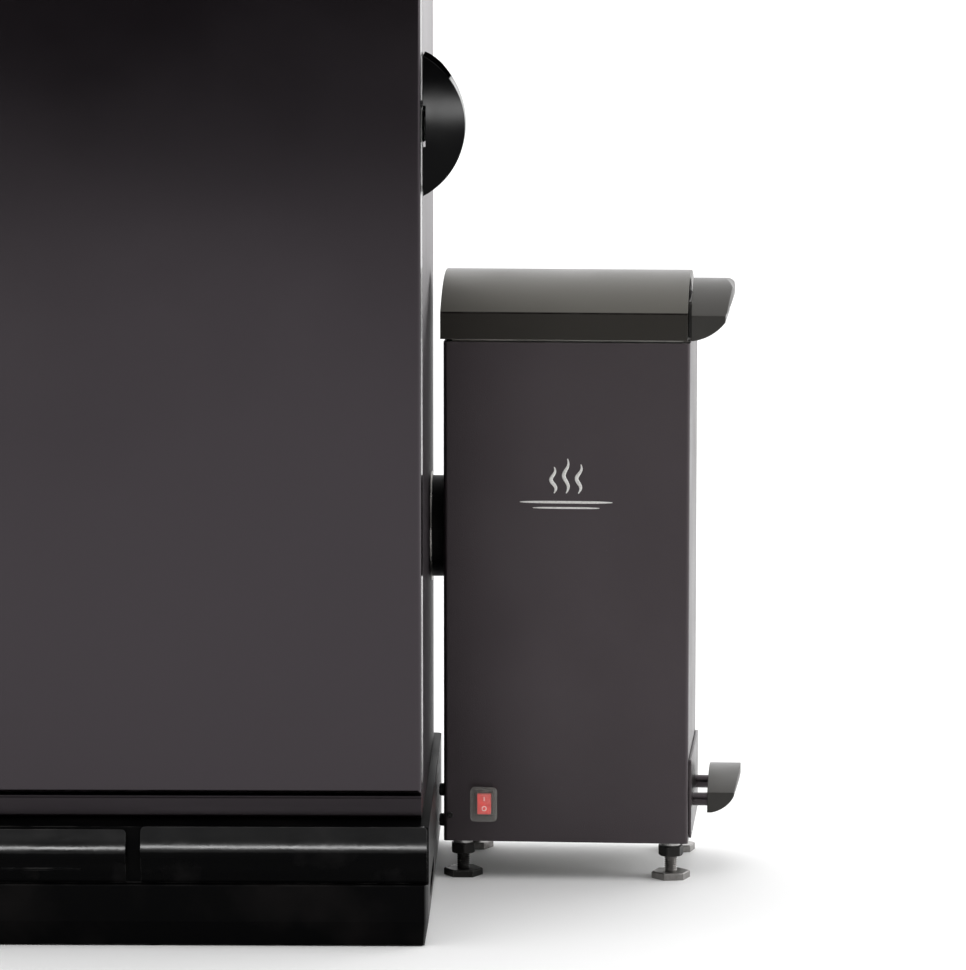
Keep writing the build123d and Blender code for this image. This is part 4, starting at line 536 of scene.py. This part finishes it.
lens_mid = (lens_low + lens_high) / 2
face_up = Vector((0, -sin(slope), cos(slope)))
bmesh.ops.transform(
    digit_mesh,
    matrix=Matrix.Translation(lens_mid + face_up * 0.86 * MM) @ panel_turn,
    verts=digit_mesh.verts,
)
display_digits = bpy.data.objects.new("display_digits", bpy.data.meshes.new("display_digits"))
digit_mesh.to_mesh(display_digits.data)
digit_mesh.free()
bpy.context.collection.objects.link(display_digits)
segment_grey = finish("segment_grey", (0.035, 0.038, 0.04), 0.2)
grain(segment_grey, 2000, 0.00001)
mottle(segment_grey, (0.05, 0.05, 0.052), 200)
display_digits.data.materials.append(segment_grey)
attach(display_digits, "cabinet")

# ---------------------------------------------------------------- smoke box body
# The smoke box is folded from thin sheet and powder coated in a warmer, grainier black than the
# cabinet. Its drawer has the same coat. The box stands a little askew to the cabinet.


def grained_black(name, tint):
    """A warm black coat with a fine orange peel."""
    paint = finish(name, (0.0075, 0.0055, 0.0056), 0.33, specular=0.78)
    shader_of(paint).inputs["Specular Tint"].default_value = (*tint, 1)
    soft_edges(paint, 0.9 * MM)
    grain(paint, 4.5, 0.0008, 0.25, detail=1)
    grain(paint, 1500, 0.0001, 0.9, detail=2)
    uneven(paint, "Roughness", 12, 0.29, 0.38)
    mottle(paint, (0.011, 0.0095, 0.0092), 9, 0.45, 0.75)
    specks(paint, 210, (0.16, 0.155, 0.15), 0.07, 0.45)
    edge_wear_and_highlight(paint, 1.0 * MM, (0.14, 0.135, 0.13), 0.55)
    return paint


BOX_ASKEW = 3.5
box_turn = Matrix.Rotation(radians(-BOX_ASKEW), 4, "Z")


def skin(node, x, z, back=False):
    """The place on a node's front or back that lies at a width and a height."""
    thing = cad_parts[node]
    way = Vector((0, -1, 0)) if back else Vector((0, 1, 0))
    inwards = thing.matrix_world.inverted()
    start = inwards @ (Vector((x, 0, z)) - way * 2)
    hit_at = thing.ray_cast(start, inwards.to_3x3() @ way)[1]
    return thing.matrix_world @ hit_at


box_paint = grained_black("box_paint", (1.0, 0.87, 0.94))
dress(box_paint, "smoke_housing", "ash_drawer")

# ---------------------------------------------------------------- smoke box lid
# The lid is the same sheet and coat, with a narrow pressed crease where its front turns down. Its
# gloss
# is painted: a thin line of painted shade along the crease, and painted shade, half gloss, below it.
CREASE_UP = 22.8 * MM
lid_paint = grained_black("lid_paint", (1.0, 0.97, 0.85))
crease_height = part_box("smoke_housing")[1].z + CREASE_UP
height = put(lid_paint, "ShaderNodeSeparateXYZ", {"Vector": place(lid_paint)}).outputs["Z"]
off_line = put(
    lid_paint, "ShaderNodeMath", {0: height, 1: crease_height}, operation="SUBTRACT"
).outputs[0]
distance = put(lid_paint, "ShaderNodeMath", {0: off_line}, operation="ABSOLUTE").outputs[0]
# The gloss falls almost to nothing in a thin line along the crease, a painted shade in the crease, and
# is halved on the front below the crease, a painted shade on that face.
painted_gloss = put(
    lid_paint,
    "ShaderNodeMapRange",
    {"Value": distance, "From Min": 0.3 * MM, "From Max": 0.9 * MM, "To Min": 0.03, "To Max": 1.0},
).outputs[0]
painted_skirt_shade = put(
    lid_paint,
    "ShaderNodeMapRange",
    {"Value": off_line, "From Min": -0.5 * MM, "From Max": 0.5 * MM, "To Min": 0.42, "To Max": 0.84},
).outputs[0]
painted_gloss = put(lid_paint, "ShaderNodeMath", {0: painted_gloss, 1: painted_skirt_shade}, operation="MULTIPLY").outputs[0]
lid_paint.node_tree.links.new(painted_gloss, shader_of(lid_paint).inputs["Specular IOR Level"])
dress(lid_paint, "smoke_lid")

# ---------------------------------------------------------------- duct
# The short tube between the two boxes is steel in a dull high-heat black.
duct_black = finish("duct_black", (0.004, 0.004, 0.004), 0.62, specular=0.22)
grain(duct_black, 900, 0.00008)
uneven(duct_black, "Roughness", 40, 0.55, 0.7)
mottle(duct_black, (0.012, 0.011, 0.01), 30, 0.5, 0.75)
dress(duct_black, "smoke_spigot", "latch_base")

# ---------------------------------------------------------------- emblem on the smoke box
# Three rising wisps of smoke over a short rule, screen printed in off-white on the box's front.
# A plain decoration of its own, printed thin enough that the grain shows through.
housing_low, housing_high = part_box("smoke_housing")
EMBLEM_Z = 0.306
WISP_H = 27 * MM
pivot_x = housing_low.x - 0.2 * MM
face_mid = pivot_x + (housing_high.x - housing_low.x) * 0.478


def wisp(x, height, lean):
    """One rising curl, thin at both ends."""
    sway = [0, 2.6, 0.3, -2.8, -0.5, 2.5, 1.0]
    points = [
        (x + lean * i * 0.5 * MM + s * MM, height * i / (len(sway) - 1)) for i, s in enumerate(sway)
    ]
    return points, False, [0.3, 0.9, 1.1, 1.15, 1.0, 0.7, 0.25]


def rule(up, half, width):
    """A level stroke, thin at both ends."""
    points = [(half * t, up) for t in (-1, -0.9, 0, 0.9, 1)]
    return points, False, [0.2 * width, width, width, width, 0.2 * width]


WISP_GAP = 9.5 * MM
strokes = [
    wisp(-WISP_GAP, WISP_H * 0.76, -0.3),
    wisp(0, WISP_H, 0.0),
    wisp(WISP_GAP, WISP_H * 0.84, 0.3),
]
strokes += [rule(-7 * MM, 36 * MM, 0.75), rule(-11.5 * MM, 26 * MM, 0.55)]
emblem = line("emblem_wisps", strokes, 1.35 * MM, flat=0.05)
upright = Matrix.Rotation(pi / 2, 4, "X")
printed_at = Matrix.Translation(skin("smoke_housing", face_mid, EMBLEM_Z))
emblem.data.transform(printed_at @ box_turn @ upright)
emblem_ink = finish("emblem_ink", (0.93, 0.92, 0.89), 0.5)
grain(emblem_ink, 1500, 0.00004, 0.8)
mottle(emblem_ink, (0.62, 0.6, 0.58), 500, 0.5, 0.75, 0.8)
emblem.data.materials.append(emblem_ink)
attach(emblem, "smoke_box")

# ---------------------------------------------------------------- hopper
# The lift-out hopper is perforated stainless, browned in patches by the heater.
hopper_steel = finish("hopper_steel", (0.5, 0.47, 0.43), 0.34, metallic=1.0)
soft_edges(hopper_steel, 0.4 * MM)
grain(hopper_steel, 600, 0.00003, 0.6, stretch=(1, 1, 0.03))
uneven(hopper_steel, "Roughness", 60, 0.26, 0.5)
mottle(hopper_steel, (0.16, 0.1, 0.06), 12, 0.4, 0.75, 0.8)
dress(hopper_steel, "chip_hopper")

# ---------------------------------------------------------------- grips
# The lid's and the drawer's grips are one moulding each, in a warm grey-black with a satin skin.
grip_plastic = finish("grip_plastic", (0.016, 0.0145, 0.012), 0.36, specular=0.42)
# Faces that turn upwards are painted paler: a painted highlight on the grips' tops.
painted_top_light = leaning(grip_plastic, "Z", (-0.1, 0.3), (0.0, 1.0))
blend_colour(grip_plastic, painted_top_light, (0.038, 0.035, 0.029))
soft_edges(grip_plastic, 1.2 * MM)
grain(grip_plastic, 1100, 0.00003, 0.5)
grain(grip_plastic, 45, 0.0002, 0.2, detail=1)
uneven(grip_plastic, "Roughness", 28, 0.3, 0.42)
mottle(grip_plastic, (0.045, 0.042, 0.035), 30, 0.55, 0.8, 0.6)
edge_wear_and_highlight(grip_plastic, 1.2 * MM, (0.12, 0.115, 0.105), 0.4)
dress(grip_plastic, "lid_handle", "drawer_handle")

# ---------------------------------------------------------------- levelling feet
# Threaded studs with hexagonal pads. The front left one is black oxide; the others are zinc.
foot_zinc = finish("foot_zinc", (0.3, 0.29, 0.28), 0.36, metallic=1.0)
soft_edges(foot_zinc, 0.3 * MM)
grain(foot_zinc, 600, 0.00005, 0.8)
uneven(foot_zinc, "Roughness", 100, 0.28, 0.5)
mottle(foot_zinc, (0.15, 0.14, 0.13), 90, 0.45, 0.7, 0.8)
dress(foot_zinc, "foot_front_right", "foot_back_left", "foot_back_right")
dress(black_oxide, "foot_front_left")

# ---------------------------------------------------------------- rocker switch
# A red translucent rocker in a black nylon body, with raised white marks for on and off.
switch_nylon = finish("switch_nylon", (0.012, 0.012, 0.012), 0.5)
grain(switch_nylon, 2500, 0.00003)
uneven(switch_nylon, "Roughness", 80, 0.42, 0.58)
dress(switch_nylon, "switch_body")

rocker_red = finish("rocker_red", (0.95, 0.12, 0.11), 0.28)
shader_of(rocker_red).inputs["Subsurface Weight"].default_value = 0.25
# The rocker's faint red glow is painted light: no lamp is built inside it.
shader_of(rocker_red).inputs["Emission Color"].default_value = (0.9, 0.1, 0.09, 1)
shader_of(rocker_red).inputs["Emission Strength"].default_value = 0.4
shader_of(rocker_red).inputs["Subsurface Radius"].default_value = (0.002, 0.0004, 0.0003)
soft_edges(rocker_red, 0.4 * MM)
grain(rocker_red, 900, 0.00002)
mottle(rocker_red, (0.8, 0.08, 0.07), 150, 0.4, 0.7)
dress(rocker_red, "switch_rocker")

boot_low, boot_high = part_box("switch_boot")
switch_z = (boot_low.z + boot_high.z) / 2
face_at_switch = skin("smoke_housing", boot_low.x - 4 * MM, switch_z)
across = (boot_high.x + boot_low.x) / 2 - face_at_switch.x + 0.15 * MM
switch_at = face_at_switch + box_turn @ Vector((across, 0, 0))
on_box = Matrix.Translation(switch_at) @ box_turn
out_of_box = box_turn @ Vector((0, 1, 0))
MARK_PROUD = 0.2 * MM
mark_white = finish("mark_white", (0.9, 0.86, 0.82), 0.4)
# The white marks glow faintly: painted light on marks that sit in shade.
shader_of(mark_white).inputs["Emission Color"].default_value = (0.9, 0.85, 0.8, 1)
shader_of(mark_white).inputs["Emission Strength"].default_value = 0.45
grain(mark_white, 2500, 0.00001)
mottle(mark_white, (0.6, 0.56, 0.52), 600, 0.5, 0.8)
for mark_name, stroke, up in (
    ("rocker_on_mark", ([(0, -1.7 * MM), (0, 1.7 * MM)], False, None), 3.6 * MM),
    ("rocker_off_mark", (ring(1.7 * MM), True, None), -4.1 * MM),
):
    mark = line(mark_name, [stroke], 0.34 * MM, flat=0.5)
    low_place, high_place = (
        skin("switch_rocker", switch_at.x, switch_z + up + side * 1.4 * MM) for side in (-1, 1)
    )
    rise = high_place - low_place
    tilt = Matrix.Rotation(atan2(rise.z, rise.y), 4, "X")
    on_face = (low_place + high_place) / 2 - MARK_PROUD * out_of_box
    mark.data.transform(Matrix.Translation(on_face) @ box_turn @ tilt)
    mark.data.materials.append(mark_white)
    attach(mark, "rocker")

# ---------------------------------------------------------------- splash cover
# A clear silicone cover clipped round the switch: a thick rim, a sunken band and a raised window.
boot_size = Vector((21.2 * MM, 0, boot_high.z - boot_low.z))
cover_mesh = bmesh.new()
bmesh.ops.create_grid(cover_mesh, x_segments=1, y_segments=1, size=0.5)
bmesh.ops.scale(cover_mesh, vec=(boot_size.x, boot_size.z, 1), verts=cover_mesh.verts)
bmesh.ops.bevel(
    cover_mesh,
    geom=cover_mesh.verts[:],
    offset=4 * MM,
    segments=6,
    profile=0.5,
    affect="VERTICES",
    material=-1,
)


def stepped(mesh, inwards, forwards):
    """Insets the front face, then moves it forwards."""
    front = max(mesh.faces, key=lambda face: face.calc_center_median().z + face.calc_area())
    bmesh.ops.inset_region(mesh, faces=[front], thickness=inwards, depth=0, use_even_offset=True)
    bmesh.ops.translate(mesh, vec=(0, 0, forwards), verts=front.verts[:])


for inwards, forwards in (
    (0.25 * MM, 1.5 * MM),
    (0.9 * MM, 0.25 * MM),
    (0.35 * MM, -1.1 * MM),
    (0.7 * MM, 0.0),
    (0.35 * MM, 4.4 * MM),
    (0.7 * MM, 1.2 * MM),
    (0.9 * MM, 0.35 * MM),
):
    stepped(cover_mesh, inwards, forwards)
bmesh.ops.solidify(cover_mesh, geom=cover_mesh.faces[:], thickness=0.35 * MM)
bmesh.ops.recalc_face_normals(cover_mesh, faces=cover_mesh.faces)
bmesh.ops.transform(
    cover_mesh,
    matrix=on_box @ Matrix.Rotation(pi / 2, 4, "X"),
    verts=cover_mesh.verts,
)
splash_cover = bpy.data.objects.new("splash_cover", bpy.data.meshes.new("splash_cover"))
cover_mesh.to_mesh(splash_cover.data)
cover_mesh.free()
bpy.context.collection.objects.link(splash_cover)
for face in splash_cover.data.polygons:
    face.use_smooth = True
clear_silicone = finish("clear_silicone", (0.75, 0.75, 0.7), 0.2, specular=0.6)
facing = put(clear_silicone, "ShaderNodeLayerWeight", {"Blend": 0.35}).outputs["Facing"]
body = put(
    clear_silicone,
    "ShaderNodeMapRange",
    {"Value": facing, "From Min": 0.1, "From Max": 0.9, "To Min": 0.1, "To Max": 0.8},
).outputs[0]
clear_silicone.node_tree.links.new(body, shader_of(clear_silicone).inputs["Alpha"])
grain(clear_silicone, 300, 0.00003, 0.5)
uneven(clear_silicone, "Roughness", 120, 0.16, 0.3)
mottle(clear_silicone, (0.6, 0.6, 0.55), 160, 0.4, 0.7)
# The cover's near-white edges are a painted highlight along its rim.
edge_wear_and_highlight(clear_silicone, 0.5 * MM, (0.95, 0.95, 0.9), 0.9)
splash_cover.data.materials.append(clear_silicone)
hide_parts("switch_boot")
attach(splash_cover, "smoke_box")

# ---------------------------------------------------------------- cord bushes
# Ribbed rubber bushes fill the two cord outlets: one in the rear cover, one low on the smoke
# box's back. No cord is fitted.


def cord_bush(name, centre, radius, body_name, turn=Matrix()):
    """A domed, ribbed bush with a dark bore, standing out along +Y."""
    mesh = bmesh.new()
    profile = [
        (1.28, 0.0), (1.28, 1.6), (1.1, 2.2), (1.0, 2.2), (1.0, 3.2), (0.86, 3.4),
        (0.86, 4.4), (0.96, 4.6), (0.96, 5.6), (0.8, 5.8), (0.8, 6.8), (0.88, 7.0),
        (0.88, 7.8), (0.7, 8.4), (0.42, 8.4), (0.42, 1.0), (0.0, 1.0),
    ]
    verts = [mesh.verts.new((r * radius, 0, h * MM)) for r, h in profile]
    edges = [mesh.edges.new(pair) for pair in zip(verts, verts[1:])]
    bmesh.ops.spin(
        mesh,
        geom=verts + edges,
        cent=(0, 0, 0),
        axis=(0, 0, 1),
        angle=2 * pi,
        steps=32,
        use_merge=True,
        use_duplicate=False,
    )
    bmesh.ops.remove_doubles(mesh, verts=mesh.verts, dist=0.00001)
    bmesh.ops.recalc_face_normals(mesh, faces=mesh.faces)
    outward = Matrix.Translation(centre) @ turn @ Matrix.Rotation(-pi / 2, 4, "X")
    bmesh.ops.transform(mesh, matrix=outward, verts=mesh.verts)
    made = bpy.data.objects.new(name, bpy.data.meshes.new(name))
    mesh.to_mesh(made.data)
    mesh.free()
    bpy.context.collection.objects.link(made)
    for face in made.data.polygons:
        face.use_smooth = True
    made.data.materials.append(pad_rubber)
    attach(made, body_name)


rear_low, rear_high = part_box("rear_cover")
rear_mid = (rear_low.x + rear_high.x) / 2
outlet_at = (rear_mid + 50 * MM, rear_high.y - 8 * MM, rear_low.z + 22 * MM)
cord_bush("cabinet_cord_bush", outlet_at, 6.4 * MM, "cabinet")
bush_at = skin("smoke_housing", housing_low.x + 36 * MM, housing_low.z + 34 * MM, back=True)
bush_at -= Vector((0, 1.6 * MM, 0))
cord_bush("smoke_box_cord_bush", bush_at, 5.4 * MM, "smoke_box", box_turn)

# ---------------------------------------------------------------- rivets on the back
# Domed steel rivets close the shell's back seam and the smoke box's wrap.
shell_low, shell_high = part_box("outer_shell")


def rivets(name, places, radius, body_name):
    """Low domes facing +Y."""
    mesh = bmesh.new()
    for centre in places:
        dome = bmesh.ops.create_uvsphere(mesh, u_segments=12, v_segments=6, radius=radius)["verts"]
        bmesh.ops.scale(mesh, vec=(1, 0.42, 1), verts=dome)
        bmesh.ops.translate(mesh, vec=centre, verts=dome)
    made = bpy.data.objects.new(name, bpy.data.meshes.new(name))
    mesh.to_mesh(made.data)
    mesh.free()
    bpy.context.collection.objects.link(made)
    for face in made.data.polygons:
        face.use_smooth = True
    made.data.materials.append(cabinet_paint if body_name == "cabinet" else box_paint)
    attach(made, body_name)


row = [shell_low.z + 40 * MM + i * (shell_high.z - shell_low.z - 80 * MM) / 6 for i in range(7)]
rivets(
    "shell_rivets",
    [(x, shell_high.y, z) for x in (shell_low.x + 14 * MM, shell_high.x - 14 * MM) for z in row],
    3.2 * MM,
    "cabinet",
)
rivet_span = housing_high.z - housing_low.z - 140 * MM
row = [housing_low.z + 60 * MM + i * rivet_span / 3 for i in range(4)]
rivets(
    "smoke_box_rivets",
    [skin("smoke_housing", housing_high.x - 15 * MM, z, back=True) for z in row],
    2.4 * MM,
    "smoke_box",
)

# ---------------------------------------------------------------- floor and light
# A pale studio floor under a soft sky of light that comes from overhead and behind. The room in front
# is dim and the floor far in front is painted dark, a painted shade, so the fronts stay deep. A
# softbox lights the right sides, and three lamps are kept to the trays, the lever and the shell, to
# draw their gloss.
floor_mesh = bmesh.new()
bmesh.ops.create_grid(floor_mesh, x_segments=1, y_segments=1, size=0.5)
bmesh.ops.scale(floor_mesh, vec=(80, 100, 1), verts=floor_mesh.verts)
bmesh.ops.translate(floor_mesh, vec=(0, 10, 0), verts=floor_mesh.verts)
floor = bpy.data.objects.new("studio_floor", bpy.data.meshes.new("studio_floor"))
floor_mesh.to_mesh(floor.data)
floor_mesh.free()
bpy.context.collection.objects.link(floor)
# From 5.6 m to 9.6 m in front the floor's colour turns near black: painted shade where the studio
# light would end.
FADE_FROM, FADE_TO = -5.6, -9.6
floor_paint = finish("floor_paint", (0.93, 0.93, 0.925), 0.8, specular=0.1)
split = put(floor_paint, "ShaderNodeSeparateXYZ", {"Vector": place(floor_paint)})
painted_far_shade = put(
    floor_paint,
    "ShaderNodeMapRange",
    {"Value": split.outputs["Y"], "From Min": FADE_FROM, "From Max": FADE_TO},
    interpolation_type="SMOOTHSTEP",
)
blend_colour(floor_paint, painted_far_shade.outputs[0], (0.012, 0.012, 0.0125))
floor.data.materials.append(floor_paint)


def softbox(name, size, at, toward, watts):
    """A rectangular area light that faces a point."""
    lamp = bpy.data.lights.new(name, "AREA")
    lamp.shape = "RECTANGLE"
    lamp.size, lamp.size_y = size
    lamp.energy = watts
    made = bpy.data.objects.new(name, lamp)
    made.location = at
    made.rotation_euler = (Vector(toward) - Vector(at)).to_track_quat("-Z", "Y").to_euler()
    bpy.context.collection.objects.link(made)
    return made


def only(lamp, *names):
    """Keeps a lamp to a few pieces."""
    group = bpy.data.collections.new(lamp.name + "_pieces")
    for name in names:
        group.objects.link(bpy.data.objects[name])
    lamp.light_linking.receiver_collection = group


tray_strip = softbox("tray_strip", (2.4, 0.5), (-0.1, -4.3, 1.25), (-0.1, 0, 0.07), 110)
only(tray_strip, "grease_tray", "ash_tray", "base_housing")
lever_strip = softbox("lever_strip", (1.2, 0.4), (0.1, -3.1, 0.82), (0.1, 0, 0.6), 60)
only(lever_strip, "latch_lever")
shell_light = softbox("shell_light", (1.6, 0.9), (2.5, 3.0, 1.05), (0.1, 0.0, 0.7), 90)
only(shell_light, "outer_shell")
softbox("right_box", (1.6, 1.6), (3.6, -0.6, 1.3), (0.2, 0.1, 0.3), 38)

world = bpy.data.worlds.new("studio")
bpy.context.scene.world = world
world.use_nodes = True
sky = world.node_tree.nodes["Background"]
way = put(world, "ShaderNodeTexCoord")
lean = put(
    world,
    "ShaderNodeVectorMath",
    {0: way.outputs["Generated"], 1: (0.0, 0.3, 0.4)},
    operation="DOT_PRODUCT",
)
amount = put(world, "ShaderNodeMath", {0: lean.outputs["Value"], 1: 0.5}, operation="ADD")
ramp = put(world, "ShaderNodeValToRGB", {"Fac": amount.outputs[0]})
levels = ((0.0, 0.01), (0.2, 0.02), (0.35, 0.07), (0.5, 0.3), (0.7, 1.45), (1.0, 1.8))
for _ in levels[2:]:
    ramp.color_ramp.elements.new(0.5)
for stop, (at, level) in zip(ramp.color_ramp.elements, levels):
    stop.position = at
    stop.color = (level, level, level * 1.005, 1)
world.node_tree.links.new(ramp.outputs["Color"], sky.inputs["Color"])
sky.inputs["Strength"].default_value = 1.0

# ---------------------------------------------------------------- camera
# A long lens from the front, a little above the smoke box, turned slightly to the left.
lens = bpy.data.cameras.new("studio_camera")
lens.lens = 199.13
lens.sensor_width = 36
lens.clip_end = 200
camera = bpy.data.objects.new("studio_camera", lens)
camera.location = (0.24045, -4.08811, 0.8487)
camera.rotation_euler = Euler((radians(90 - 7.398), 0, radians(0.921)))
bpy.context.collection.objects.link(camera)
bpy.context.scene.camera = camera
bpy.context.scene.view_settings.view_transform = "Standard"
